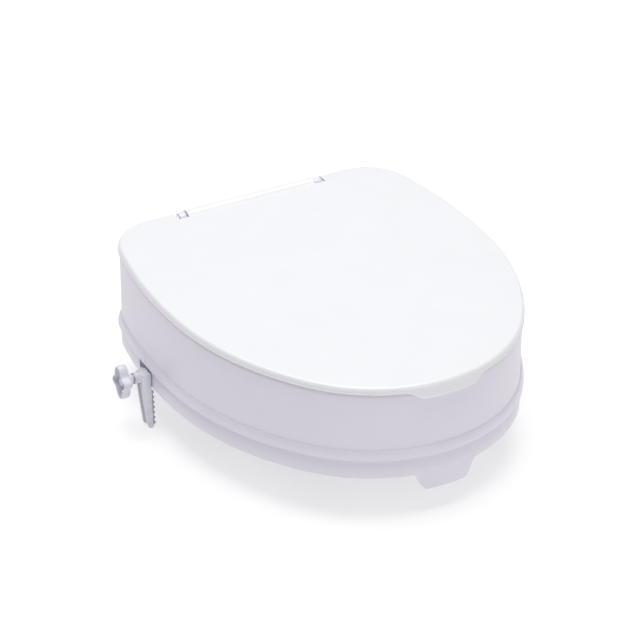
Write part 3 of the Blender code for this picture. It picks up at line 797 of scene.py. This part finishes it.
# ---------------------------------------------------------------- seat
@dataclass
class SeatShell:
    """The moulded seat: skirt, rib, wall, sitting surface, splash wall and ears."""

    plan: Plan
    hinge: Hinge
    skirt_bottom: float = 0.0481
    skirt_out: float = 0.0009
    skirt_round: float = 0.0009
    ledge_top: float = 0.0511
    ledge_reach: float = 0.0380
    rib_low: float = 0.0700
    rib_high: float = 0.0802
    rib_out: float = 0.0039
    rib_round: float = 0.0008
    undercut: float = 0.0016
    wall: float = 0.0040
    shoulder: float = 0.0080
    dish: float = 0.0050
    splash_bottom: float = 0.0370
    splash_wall: float = 0.0035
    lug_drop: float = 0.0195
    lug_foot: float = 0.0215
    lug_root: float = 0.0370
    slot_low: float = 0.0560
    slot_high: float = 0.0694
    slot_front: float = 0.0755
    slot_rear: float = 0.1060
    screw_x: float = 0.1640
    screw_y: float = 0.0835
    screw_spread: float = 0.0195
    screw_hole_z: float = 0.0495

    def lug(self, ring: Ring, height: float) -> Ring:
        """A level ring that drops along the locating lug at the front.

        Args:
            ring: The plan ring.
            height: Its height away from the lug.

        Returns:
            The ring.
        """
        shaped = []
        for point in ring:
            reach = (self.lug_root - abs(point.x)) / (self.lug_root - self.lug_foot)
            share = smoothstep(reach) if point.y < 0.0 else 0.0
            shaped.append(Vector((point.x, point.y, height - self.lug_drop * share)))
        return shaped

    def skirt_and_rib(self) -> list[Ring]:
        """Outer face from the skirt's foot to the wall above the rib.

        Returns:
            The rings in order.
        """
        wall = self.plan.wall
        rings = []
        for rise, gap in quarter(4):
            rings.append(self.lug(wall(self.skirt_out - self.skirt_round * gap),
                                  self.skirt_bottom + self.skirt_round * rise))
        rings.append(level(wall(self.skirt_out), self.skirt_bottom + 0.0030))
        rings.append(level(wall(self.skirt_out), self.rib_low - 0.0020))
        rings.append(level(wall(self.skirt_out - 0.0003), self.rib_low - 0.0015))
        rings.append(level(wall(self.skirt_out - self.undercut), self.rib_low - 0.0006))
        rings.append(level(wall(self.skirt_out - self.undercut), self.rib_low))
        for rise, gap in quarter(5):
            rings.append(level(wall(self.rib_out - self.rib_round * gap),
                               self.rib_low + self.rib_round * rise))
        foot = self.rib_low + self.rib_round
        for step in range(1, 9):
            share = step / 8.0
            rings.append(level(wall(0.0012 + (self.rib_out - 0.0012) * (1.0 - share ** 2.2)),
                               foot + (self.rib_high - foot) * share))
        for rise, gap in quarter(4)[1:]:
            rings.append(level(wall(0.0012 * gap), self.rib_high + 0.0012 * rise))
        return rings

    def sitting_surface(self) -> list[Ring]:
        """Shoulder, dished top and rounding into the aperture.

        Returns:
            The rings in order.
        """
        plan = self.plan
        rings = []
        for across, up in quarter(10):
            rings.append(follow(plan.wall(-self.shoulder * across), plan.seat_height,
                                -self.shoulder * up))
        inner = plan.aperture(self.shoulder)
        outer = plan.wall(-self.shoulder)
        for step in range(1, 13):
            share = step / 12.0
            rings.append(follow(between(outer, inner, share), plan.seat_height,
                                -self.dish * smoothstep(share)))
        for across, up in quarter(8)[::-1][1:]:
            rings.append(follow(plan.aperture(self.shoulder * across), plan.seat_height,
                                -self.dish - self.shoulder * up))
        return rings

    def splash_and_underside(self) -> list[Ring]:
        """Splash wall, hollow underside, ledge and the inside of the skirt.

        Returns:
            The rings in order.
        """
        plan = self.plan
        low = self.splash_bottom
        half = self.splash_wall / 2.0
        rings = []
        for step in range(9):
            angle = math.pi * step / 8.0
            rings.append(level(plan.aperture(half - half * math.cos(angle)),
                               low + half * (1.0 - math.sin(angle))))
        outer = plan.wall(-self.shoulder)
        inner = plan.aperture(self.shoulder)
        drop = -self.dish - self.wall
        for across, up in quarter(4):
            share = self.splash_wall + (self.shoulder - self.splash_wall) * across
            rings.append(follow(plan.aperture(share), plan.seat_height, drop - 0.0040 * up))
        for step in range(9, 0, -1):
            share = step / 10.0
            rings.append(follow(between(outer, inner, share), plan.seat_height,
                                -self.dish * smoothstep(share) - self.wall))
        for across, up in quarter(4)[::-1]:
            inset = self.wall + (self.shoulder - self.wall) * across
            rings.append(follow(plan.wall(-inset), plan.seat_height,
                                -self.wall - (self.shoulder - self.wall) * up))
        rings.append(level(plan.wall(-self.wall), self.ledge_top + 0.0010))
        rings.append(level(plan.wall(-self.wall - 0.0010), self.ledge_top))
        reach = -self.ledge_reach
        rings.append(level(plan.wall(reach + 0.0006), self.ledge_top))
        rings.append(level(plan.wall(reach), self.ledge_top - 0.0006))
        rings.append(level(plan.wall(reach), self.skirt_bottom + 0.0006))
        rings.append(level(plan.wall(reach + 0.0006), self.skirt_bottom))
        rings.append(level(plan.wall(-self.wall - 0.0010), self.skirt_bottom))
        rings.append(self.lug(plan.wall(-self.wall - 0.0002), self.skirt_bottom))
        return rings

    def ear(self, side: Side) -> bmesh.types.BMesh:
        """One hinge ear with eased edges.

        Args:
            side: Its side.

        Returns:
            The mesh.
        """
        hinge = self.hinge
        start = hinge.barrel_half + hinge.gap
        outline = [(hinge.y + hinge.ear_radius, hinge.ear_foot)]
        for i in range(25):
            angle = math.pi * i / 24
            outline.append((hinge.y + hinge.ear_radius * math.cos(angle),
                            hinge.z + hinge.ear_radius * math.sin(angle)))
        outline.append((hinge.y - hinge.ear_radius, hinge.ear_foot))
        mesh = bmesh.new()
        prism(mesh, outline, start, start + hinge.ear_width, lambda u, v, d: (d, u, v))
        ease(mesh, 0.0007)
        return mirrored(mesh, side)

    def openings(self, side: Side) -> list[bmesh.types.BMesh]:
        """Clamp slot, pin bore and screw holes of one side.

        Args:
            side: The side.

        Returns:
            The solids to remove.
        """
        slot = block((0.1700, self.slot_front, self.slot_low),
                     (0.1870, self.slot_rear, self.slot_high), 0.0008)
        tools = [mirrored(slot, side), self.hinge.bore(side, 0.0770, 0.0960)]
        for sign in (-1, 1):
            y = self.screw_y + sign * self.screw_spread
            tools.append(upright_hole((side.value * self.screw_x, y, self.screw_hole_z)))
        return tools

    def build(self, palette: Palette) -> None:
        """Make and dress the seat.

        Args:
            palette: The finishes.
        """
        mesh = bmesh.new()
        rings = self.skirt_and_rib() + self.sitting_surface() + self.splash_and_underside()
        loft(mesh, rings, closed=True)
        piece = solid("seat_moulding", mesh)
        cuts = [tool for side in Side for tool in self.openings(side)]
        cut_and_join(piece, [self.ear(side) for side in Side], cuts)
        dress(piece, palette.shell, Body.SEAT.value, ["seat_body"])


# ---------------------------------------------------------------- lid
@dataclass
class Lid:
    """The lid: domed field, rolled rim, finger tab and hinge barrel."""

    plan: Plan
    hinge: Hinge
    out: float = 0.0021
    height: float = 0.0070
    round: float = 0.0057
    round_in: float = 0.0042
    wall: float = 0.0028
    dome: float = 0.0030
    flare: float = 0.0005
    flare_high: float = 0.0013
    tab_drop: float = 0.0075
    tab_out: float = 0.0018
    tab_flat: float = 0.0280
    tab_root: float = 0.0460
    field_steps: int = 14

    def rim(self, offset: float, shift: float, tab: float = 0.0) -> Ring:
        """A ring near the rim.

        Args:
            offset: Distance outward from the wall.
            shift: Height over the lip plane.
            tab: How far the finger tab pulls the ring down.

        Returns:
            The ring.
        """
        ring = []
        for point in self.plan.wall(offset):
            reach = (self.tab_root - abs(point.x)) / (self.tab_root - self.tab_flat)
            share = smoothstep(reach) * tab if point.y < 0.0 else 0.0
            height = self.plan.lip_height(point.x, point.y) + shift - self.tab_drop * share
            ring.append(Vector((point.x, point.y - self.tab_out * share, height)))
        return ring

    def field(self, scale: float, offset: float, shift: float) -> Ring:
        """A ring of the domed field, scaled toward the middle.

        Args:
            scale: Share of the way from the middle to the rim.
            offset: Distance outward of the full ring.
            shift: Height over the lip plane.

        Returns:
            The ring.
        """
        rise = self.dome * (1.0 - scale ** 2)
        ring = []
        for point in self.plan.wall(offset):
            spot = point * scale
            height = self.plan.lip_height(spot.x, spot.y) + shift + rise
            ring.append(Vector((spot.x, spot.y, height)))
        return ring

    def rings(self) -> list[Ring]:
        """Surface from the middle of the top, over the rim, to the middle underneath.

        Returns:
            The rings in order.
        """
        edge = self.out - self.round_in
        scales = [step / self.field_steps for step in range(1, self.field_steps)]
        rings = [self.field(scale, edge, self.height) for scale in scales]
        wide = self.round_in - self.flare
        for across, up in quarter(12)[::-1]:
            rings.append(self.rim(edge + wide * (1.0 - across), self.height - self.round * up,
                                  0.3 * up))
        rings.append(self.rim(self.out - self.flare, self.flare_high + 0.0001, 0.9))
        rings.append(self.rim(self.out - 0.6 * self.flare, self.flare_high - 0.0003, 0.95))
        rings.append(self.rim(self.out, self.flare_high - 0.0005, 1.0))
        rings.append(self.rim(self.out, 0.0004, 1.0))
        rings.append(self.rim(self.out - 0.0001, 0.0001, 1.0))
        rings.append(self.rim(self.out - 0.0005, 0.0, 1.0))
        rings.append(self.rim(self.out - 0.0019, 0.0, 1.0))
        rings.append(self.rim(self.out - 0.0023, 0.0002, 1.0))
        rings.append(self.rim(self.out - 0.0024, 0.0006, 1.0))
        rings.append(self.rim(self.out - 0.0026, 0.0016, 0.3))
        inner = edge - 0.0008
        for across, up in quarter(5)[1:]:
            start = self.out - 0.0027
            rings.append(self.rim(start + (inner - start) * across,
                                  0.0020 + (self.height - self.wall - 0.0020) * (1.0 - up)))
        rings += [self.field(scale, edge, self.height - self.wall) for scale in scales[::-1]]
        return rings

    def barrel(self) -> bmesh.types.BMesh:
        """The hinge barrel, a little long; the notches trim its ends.

        Returns:
            The mesh.
        """
        hinge = self.hinge
        far = hinge.barrel_half + 0.0010
        sections = ((-far, hinge.barrel_radius), (far, hinge.barrel_radius))
        return turned_x(sections, hinge.axis, 96)

    def notch(self, side: Side) -> bmesh.types.BMesh:
        """The room for an ear at the end of the barrel.

        Args:
            side: Its side.

        Returns:
            The solid to remove.
        """
        hinge = self.hinge
        far = hinge.barrel_half + hinge.gap + hinge.ear_width + 0.0030
        low = (hinge.barrel_half, hinge.y - 0.0085, 0.1400)
        return mirrored(block(low, (far, hinge.y + 0.0120, 0.1800), 0.0008), side)

    def build(self, palette: Palette) -> None:
        """Make and dress the lid.

        Args:
            palette: The finishes.
        """
        middle = self.plan.lip_height(0.0, 0.0) + self.height + self.dome
        mesh = bmesh.new()
        loft(mesh, self.rings(), cap_start=(0.0, 0.0, middle),
             cap_end=(0.0, 0.0, middle - self.wall))
        piece = solid("lid_moulding", mesh)
        cuts = [self.notch(side) for side in Side]
        cuts += [self.hinge.bore(side, 0.0640, 0.0800) for side in Side]
        cut_and_join(piece, [self.barrel()], cuts)
        dress(piece, palette.lid, Body.LID.value, ["lid"])


# ---------------------------------------------------------------- clamp
@dataclass
class Clamp:
    """One screw clamp: bracket, grip pad, knob, screw and nut holder."""

    side: Side
    y: float = 0.0800
    screw_z: float = 0.0610
    screw_radius: float = 0.0029
    fit: float = 0.0003
    web_in: float = 0.1862
    web: float = 0.0032
    arm_half: float = 0.0074
    arm_top: float = 0.0655
    straight: float = 0.0480
    lean: float = math.radians(1.5)
    flange: float = 0.0026
    rib_half: float = 0.0010
    rib_inset: float = 0.0012
    depths: tuple[tuple[float, float], ...] = (
        (0.0, 0.0036), (0.0003, 0.0041), (0.0009, 0.0048), (0.0018, 0.0053), (0.0036, 0.0058),
        (0.0110, 0.0064), (0.0300, 0.0083), (0.0480, 0.0101), (0.0655, 0.0101))
    boss_out: float = 0.2030
    boss_radius: float = 0.0060
    tongue_low: float = 0.0570
    tongue_high: float = 0.0615
    tongue_front: float = 0.0870
    tongue_rear: float = 0.0920
    tongue_in: float = 0.1560
    holder_y: float = 0.0835
    holder_spread: float = 0.0195
    holder_in: float = 0.1520
    holder_out: float = 0.1760
    holder_top: float = 0.0712
    holder_screw_x: float = 0.1640
    nut_in: float = 0.1597
    nut_out: float = 0.1653
    nut_half: float = 0.0053
    screw_start: float = 0.1440
    thread_end: float = 0.1990
    thread_depth: float = 0.0006
    knob_neck: float = 0.2049
    knob_back: float = 0.2105
    knob_front: float = 0.2205
    knob_mean: float = 0.0139
    knob_lobe: float = 0.0029
    knob_longer: float = 0.0018
    knob_turn: float = math.radians(81.0)
    ledge_top: float = 0.0511
    teeth: int = 7
    tooth_pitch: float = 0.0062
    thread_pitch: float = 0.0010

    @property
    def axis(self) -> tuple[float, float]:
        """Y and Z of the screw axis."""
        return self.y, self.screw_z

    def leaned(self, mesh: bmesh.types.BMesh) -> bmesh.types.BMesh:
        """Shear what hangs below the straight part toward the bowl.

        Args:
            mesh: The mesh.

        Returns:
            The same mesh.
        """
        for vert in mesh.verts:
            vert.co.x -= max(self.straight - vert.co.z, 0.0) * math.tan(self.lean)
        return mesh

    def slab(self, outline: Sequence[tuple[float, float]], near: float,
             far: float) -> bmesh.types.BMesh:
        """A slab of the arm from a side outline.

        Args:
            outline: X and Z of its corners.
            near: First place along Y from the screw axis.
            far: Last place along Y.

        Returns:
            The mesh.
        """
        mesh = bmesh.new()
        prism(mesh, outline, near, far, lambda u, v, d: (u, self.y + d, v))
        return mesh

    def arm(self) -> bmesh.types.BMesh:
        """The full arm before its channels are cut, with eased edges.

        Returns:
            The mesh.
        """
        outline = [(self.web_in, self.arm_top), (self.web_in, self.straight), (self.web_in, 0.0)]
        outline += [(self.web_in + depth, z) for z, depth in self.depths]
        mesh = self.slab(outline, -self.arm_half, self.arm_half)
        ease(mesh, 0.00040, above=40.0)
        return self.leaned(mesh)

    def channels(self) -> list[bmesh.types.BMesh]:
        """The two channels beside the middle rib, and the room over the rib.

        Returns:
            The solids to remove.
        """
        root = self.web_in + self.web
        far = root + 0.0200
        side = [(root, -0.0040), (far, -0.0040), (far, self.arm_top + 0.0040),
                (root, self.arm_top + 0.0040), (root, self.straight)]
        wall = self.arm_half - self.flange
        tools = [self.slab(side, -wall, -self.rib_half), self.slab(side, self.rib_half, wall)]
        crest = [(self.web_in + depth - self.rib_inset, z) for z, depth in self.depths]
        crest = [(crest[0][0], -0.0040)] + crest + [(crest[-1][0], self.arm_top + 0.0040)]
        crest += [(far, self.arm_top + 0.0040), (far, -0.0040)]
        tools.append(self.slab(crest, -self.rib_half - 0.0002, self.rib_half + 0.0002))
        return [self.leaned(tool) for tool in tools]

    def boss(self) -> bmesh.types.BMesh:
        """The round boss round the screw, with a fillet at its root.

        Returns:
            The mesh.
        """
        root = self.web_in + self.web
        sections = [(root - 0.0010, self.boss_radius + 0.0006)]
        for along, gap in quarter(4):
            sections.append((root + 0.0004 + 0.0008 * along, self.boss_radius + 0.0006 * gap))
        for inset, gap in quarter(4):
            sections.append((self.boss_out - 0.0008 * gap, self.boss_radius - 0.0008 * inset))
        return turned_x(sections, self.axis, 64)

    def bracket(self, palette: Palette) -> None:
        """Make and dress the bracket.

        Args:
            palette: The finishes.
        """
        tongue = block((self.tongue_in, self.tongue_front, self.tongue_low),
                       (self.web_in + 0.0020, self.tongue_rear, self.tongue_high), 0.0006)
        lug = block((self.web_in, self.y + 0.0040, self.tongue_low - 0.0015),
                    (self.web_in + self.web - 0.0002, self.tongue_rear + 0.0012,
                     self.tongue_high + 0.0015), 0.0005)
        radius = self.screw_radius + self.fit
        bore = turned_x(((self.web_in - 0.0050, radius), (self.boss_out + 0.0050, radius)),
                        self.axis, 48)
        piece = solid(f"clamp_arm_{self.side.word}", mirrored(self.arm(), self.side))
        cut_and_join(piece, (), [mirrored(tool, self.side) for tool in self.channels()])
        joined = [mirrored(mesh, self.side) for mesh in (self.boss(), lug, tongue)]
        cut_and_join(piece, joined, [mirrored(bore, self.side)])
        dress(piece, palette.clamp, Body.CLAMP.on(self.side),
              [f"clamp_bracket_{self.side.word}"])

    def grip(self, palette: Palette) -> None:
        """Make and dress the serrated pad on the bowl side of the arm; its grey colour is painted
        shade that stands in for the dark between the teeth.

        Args:
            palette: The finishes.
        """
        back = self.web_in - self.fit
        low = 0.0030
        outline = [(back, low)]
        for i in range(self.teeth):
            z = low + i * self.tooth_pitch
            outline += [(back - 0.0010, z + 0.0004), (back - 0.0026, z + 0.0018),
                        (back - 0.0026, z + 0.0030), (back - 0.0010, z + 0.0044)]
        outline.append((back, low + self.teeth * self.tooth_pitch - 0.0010))
        half = self.arm_half - 0.0004
        mesh = self.slab(outline, -half, half)
        ease(mesh, 0.00035, above=25.0)
        piece = solid(f"grip_strip_{self.side.word}", mirrored(self.leaned(mesh), self.side))
        dress(piece, palette.grip, Body.CLAMP.on(self.side),
              [f"grip_pad_{self.side.word}"])

    def knob_ring(self, x: float, inset: float, share: float, count: int = 160) -> Ring:
        """The knob's outline drawn in by an inset.

        Args:
            x: Place along the axis.
            inset: How far it is drawn in.
            share: Share of the lobes; 0 makes it round.
            count: Number of points.

        Returns:
            The ring.
        """
        ring = []
        for i in range(count):
            angle = 2.0 * math.pi * i / count
            turned = angle - self.knob_turn
            swing = (self.knob_lobe * math.cos(4.0 * turned)
                     + self.knob_longer * math.cos(2.0 * turned))
            reach = self.knob_mean - inset + share * swing
            ring.append(Vector((x, self.y + reach * math.cos(angle),
                                self.screw_z + reach * math.sin(angle))))
        return ring

    def knob(self, palette: Palette) -> None:
        """Make and dress the lobed knob, hollow on its outer face with ribs inside.

        Args:
            palette: The finishes.
        """
        back = self.knob_back
        front = self.knob_front
        neck = self.knob_mean - 0.0056
        sections = [(self.knob_neck, neck + 0.0004, 0.0), (self.knob_neck + 0.0004, neck, 0.0),
                    (back - 0.0006, neck, 0.0), (back - 0.0002, neck - 0.0003, 0.05),
                    (back, neck - 0.0010, 0.15), (back, 0.0050, 0.50)]
        for along, gap in quarter(8):
            sections.append((back + 0.0020 * along, 0.0020 * gap, 1.0 - 0.10 * gap))
        sections.append(((back + front) / 2.0, 0.0, 1.0))
        for inset, gap in quarter(6):
            sections.append((front - 0.0018 * gap, 0.0011 * inset, 1.0 - 0.04 * inset))
        sections += [(front - 0.0001, 0.0015, 0.95), (front - 0.0005, 0.0018, 0.93),
                     (front - 0.0012, 0.0019, 0.92), (front - 0.0060, 0.0024, 0.88),
                     (front - 0.0070, 0.0028, 0.85), (front - 0.0074, 0.0034, 0.80),
                     (front - 0.0075, 0.0046, 0.60)]
        mesh = bmesh.new()
        rings = [self.knob_ring(x, inset, share) for x, inset, share in sections]
        loft(mesh, rings, cap_start=(sections[0][0], *self.axis),
             cap_end=(sections[-1][0], *self.axis))
        floor = front - 0.0085
        hub = [(floor, 0.0046), (floor + 0.0052, 0.0042), (floor + 0.0055, 0.0041),
               (floor + 0.0057, 0.0038), (floor + 0.0057, 0.0020), (floor + 0.0053, 0.0016)]
        joined = [mirrored(turned_x(hub, self.axis, 48), self.side)]
        for i in range(4):
            web = block((floor, -0.0006, 0.0030), (floor + 0.0035, 0.0006, 0.0092), 0.0003)
            turn = Matrix.Rotation(self.knob_turn - math.pi / 4.0 + math.pi * i / 2.0, 4, "X")
            move = Matrix.Translation((0.0, *self.axis))
            bmesh.ops.transform(web, matrix=move @ turn, verts=web.verts)
            joined.append(mirrored(web, self.side))
        piece = solid(f"hand_knob_{self.side.word}", mirrored(mesh, self.side))
        cut_and_join(piece, joined)
        dress(piece, palette.clamp, Body.KNOB.on(self.side),
              [f"knob_{self.side.word}"])

    def screw(self, palette: Palette) -> None:
        """Make and dress the screw with its rolled thread.

        Args:
            palette: The finishes.
        """
        start = self.screw_start
        end = self.knob_neck - self.fit
        plain = self.thread_end
        count = 24
        per_turn = 8
        rings = []
        steps = int(round((plain - start) / self.thread_pitch * per_turn))
        for step in range(steps + 1):
            x = start + self.thread_pitch * step / per_turn
            taper = min(1.0, (x - start) / 0.0008, (plain - x) / 0.0008)
            core = self.screw_radius - self.thread_depth
            if x - start < 0.0008:
                core -= 0.0004 * (1.0 - (x - start) / 0.0008)
            ring = []
            for i in range(count):
                angle = 2.0 * math.pi * i / count
                phase = (x / self.thread_pitch - self.side.value * i / count) % 1.0
                crest = 1.0 - abs(2.0 * phase - 1.0)
                reach = core + self.thread_depth * max(taper, 0.0) * min(1.0, 1.35 * crest)
                ring.append(Vector((x, self.y + reach * math.cos(angle),
                                    self.screw_z + reach * math.sin(angle))))
            rings.append(ring)
        rings.append(around_x(plain + 0.0002, self.axis, self.screw_radius, count))
        rings.append(around_x(end, self.axis, self.screw_radius, count))
        mesh = bmesh.new()
        loft(mesh, rings, cap_start=(start, *self.axis), cap_end=(end, *self.axis))
        piece = solid(f"clamp_screw_{self.side.word}", mirrored(mesh, self.side))
        dress(piece, palette.steel, Body.KNOB.on(self.side),
              [f"knob_screw_{self.side.word}"], 50.0)

    def holder(self, palette: Palette) -> None:
        """Make and dress the nut holder inside the skirt.

        Args:
            palette: The finishes.
        """
        low = self.ledge_top + self.fit
        outline = [(-0.0240, low), (0.0240, low), (0.0240, low + 0.0030),
                   (0.0145, low + 0.0030), (0.0135, self.holder_top), (-0.0135, self.holder_top),
                   (-0.0145, low + 0.0030), (-0.0240, low + 0.0030)]
        mesh = bmesh.new()
        prism(mesh, outline, self.holder_in, self.holder_out,
              lambda u, v, d: (d, self.holder_y + u, v))
        ease(mesh, 0.0006, above=40.0)
        channel = block((0.1500, self.tongue_front - 0.0004, self.tongue_low - 0.0004),
                        (0.1780, self.tongue_rear + 0.0004, self.tongue_high + 0.0004))
        pocket = block((self.nut_in, self.y - self.nut_half, low - 0.0020),
                       (self.nut_out, self.y + self.nut_half, self.screw_z + 0.0061))
        radius = self.screw_radius + self.fit
        bore = turned_x(((0.1500, radius), (0.1780, radius)), self.axis, 40)
        cuts = [mirrored(tool, self.side) for tool in (channel, pocket, bore)]
        for sign in (-1, 1):
            y = self.holder_y + sign * self.holder_spread
            cuts.append(upright_hole((self.side.value * self.holder_screw_x, y, low + 0.0015)))
        piece = solid(f"nut_housing_{self.side.word}", mirrored(mesh, self.side))
        cut_and_join(piece, (), cuts)
        dress(piece, palette.clamp, Body.SEAT.value,
              [f"nut_holder_{self.side.word}"])

    def build(self, palette: Palette) -> None:
        """Make and dress the whole clamp.

        Args:
            palette: The finishes.
        """
        self.bracket(palette)
        self.grip(palette)
        self.knob(palette)
        self.screw(palette)
        self.holder(palette)


# ---------------------------------------------------------------- small parts
@dataclass
class SmallParts:
    """Pieces whose CAD shape is kept: they get finishes, smoothing and eased edges."""

    edge: float = 0.0003

    def keep(self, node: str, finish: bpy.types.Material, edge: float) -> None:
        """Dress one carried-over node.

        Args:
            node: The CAD node's name.
            finish: Its material.
            edge: Radius of its eased edges, or zero.
        """
        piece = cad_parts[node]
        piece.data.materials.clear()
        piece.data.materials.append(finish)
        weld = piece.modifiers.new("weld", "WELD")
        weld.merge_threshold = 0.00001
        if edge > 0.0:
            ease_edges = piece.modifiers.new("ease", "BEVEL")
            ease_edges.width = edge
            ease_edges.segments = 2
            ease_edges.limit_method = "ANGLE"
            ease_edges.angle_limit = math.radians(40.0)
            ease_edges.harden_normals = True
        log.info("%s: kept, %d faces", node, len(piece.data.polygons))

    def build(self, palette: Palette) -> None:
        """Dress every carried-over node.

        Args:
            palette: The finishes.
        """
        for side in Side:
            self.keep(f"hinge_pin_{side.word}", palette.clamp, 0.0)
            self.keep(f"knob_washer_{side.word}", palette.steel, 0.0002)
            self.keep(f"clamp_nut_{side.word}", palette.steel, 0.0003)
            for number in (1, 2):
                self.keep(f"holder_screw_{side.word}_{number}", palette.steel, 0.0)
        for number in range(1, 5):
            self.keep(f"lid_buffer_{number}", palette.pad, 0.0)
            self.keep(f"rim_pad_{number}", palette.pad, 0.0004)


# ---------------------------------------------------------------- studio
@dataclass(frozen=True)
class Lamp:
    """A soft rectangular lamp: place, aim, size in metres, watts and colour."""

    name: str
    place: tuple[float, float, float]
    aim: tuple[float, float, float]
    size: tuple[float, float]
    watts: float
    colour: str

    def hang(self) -> None:
        """Hang the lamp in the scene."""
        data = bpy.data.lights.new(self.name, "AREA")
        data.shape = "RECTANGLE"
        data.size = self.size[0]
        data.size_y = self.size[1]
        data.energy = self.watts
        data.color = linear(self.colour)[:3]
        lamp = bpy.data.objects.new(self.name, data)
        lamp.location = self.place
        aim = Vector(self.aim) - Vector(self.place)
        lamp.rotation_euler = aim.to_track_quat("-Z", "Y").to_euler()
        bpy.context.scene.collection.objects.link(lamp)


@dataclass
class Studio:
    """Floor, lamps, sky and camera."""

    azimuth: float = -30.462
    elevation: float = 29.896
    roll: float = -0.48
    distance: float = 3.062
    lens: float = 167.3
    middle: tuple[float, float, float] = (0.0, 0.0, 0.1273)
    aim_right: float = -0.0238
    aim_up: float = -0.0122
    floor_half: float = 9.0
    sky: float = 0.36
    lamps: tuple[Lamp, ...] = (
        Lamp("overhead_softbox", (0.0, 0.2, 3.0), (0.0, 0.1, 0.0), (2.4, 2.4), 83.0, "#FFFFFF"),
        Lamp("front_softbox", (0.3, -2.6, 1.2), (0.0, 0.0, 0.1), (1.2, 1.2), 7.5, "#FFFAF4"),
        Lamp("left_softbox", (-2.4, -0.6, 0.9), (0.0, 0.0, 0.1), (1.2, 1.2), 0.6, "#E6E6FF"),
    )

    def camera(self) -> None:
        """Place the camera."""
        a = math.radians(self.azimuth)
        e = math.radians(self.elevation)
        r = math.radians(self.roll)
        right = Vector((math.cos(a), math.sin(a), 0.0))
        back = Vector((math.sin(a) * math.cos(e), -math.cos(a) * math.cos(e), math.sin(e)))
        up = back.cross(right)
        across = right * math.cos(r) - up * math.sin(r)
        top = right * math.sin(r) + up * math.cos(r)
        middle = Vector(self.middle)
        place = middle + back * self.distance
        aim = middle + across * self.aim_right + top * self.aim_up
        look = (place - aim).normalized()
        side = top.cross(look).normalized()
        over = look.cross(side)
        turn = Matrix((side, over, look)).transposed().to_4x4()
        data = bpy.data.cameras.new("camera")
        data.lens = self.lens
        data.sensor_width = 36.0
        data.clip_start = 0.05
        data.clip_end = 50.0
        camera = bpy.data.objects.new("camera", data)
        camera.matrix_world = Matrix.Translation(place) @ turn
        bpy.context.scene.collection.objects.link(camera)
        bpy.context.scene.camera = camera

    def floor(self, palette: Palette) -> None:
        """Lay the floor.

        Args:
            palette: The finishes.
        """
        mesh = bmesh.new()
        bmesh.ops.create_grid(mesh, x_segments=4, y_segments=4, size=self.floor_half)
        data = bpy.data.meshes.new("studio_floor")
        mesh.to_mesh(data)
        mesh.free()
        data.materials.append(palette.floor)
        floor = bpy.data.objects.new("studio_floor", data)
        bpy.context.scene.collection.objects.link(floor)

    def light(self) -> None:
        """Hang the lamps and light the sky."""
        for lamp in self.lamps:
            lamp.hang()
        world = bpy.data.worlds.new("studio_sky")
        world.use_nodes = True
        shade = world.node_tree.nodes["Background"]
        shade.inputs["Color"].default_value = linear("#FFFFFF")
        shade.inputs["Strength"].default_value = self.sky
        bpy.context.scene.world = world

    def build(self, palette: Palette) -> None:
        """Set the stage.

        Args:
            palette: The finishes.
        """
        self.camera()
        self.floor(palette)
        self.light()
        bpy.context.scene.view_settings.view_transform = "Standard"


def main() -> None:
    logging.basicConfig(level=logging.INFO, format="%(message)s")
    palette = make_palette()
    plan = Plan()
    hinge = Hinge()
    SeatShell(plan, hinge).build(palette)
    Lid(plan, hinge).build(palette)
    for side in Side:
        Clamp(side).build(palette)
    SmallParts().build(palette)
    Studio().build(palette)


if __name__ == "__main__":
    main()
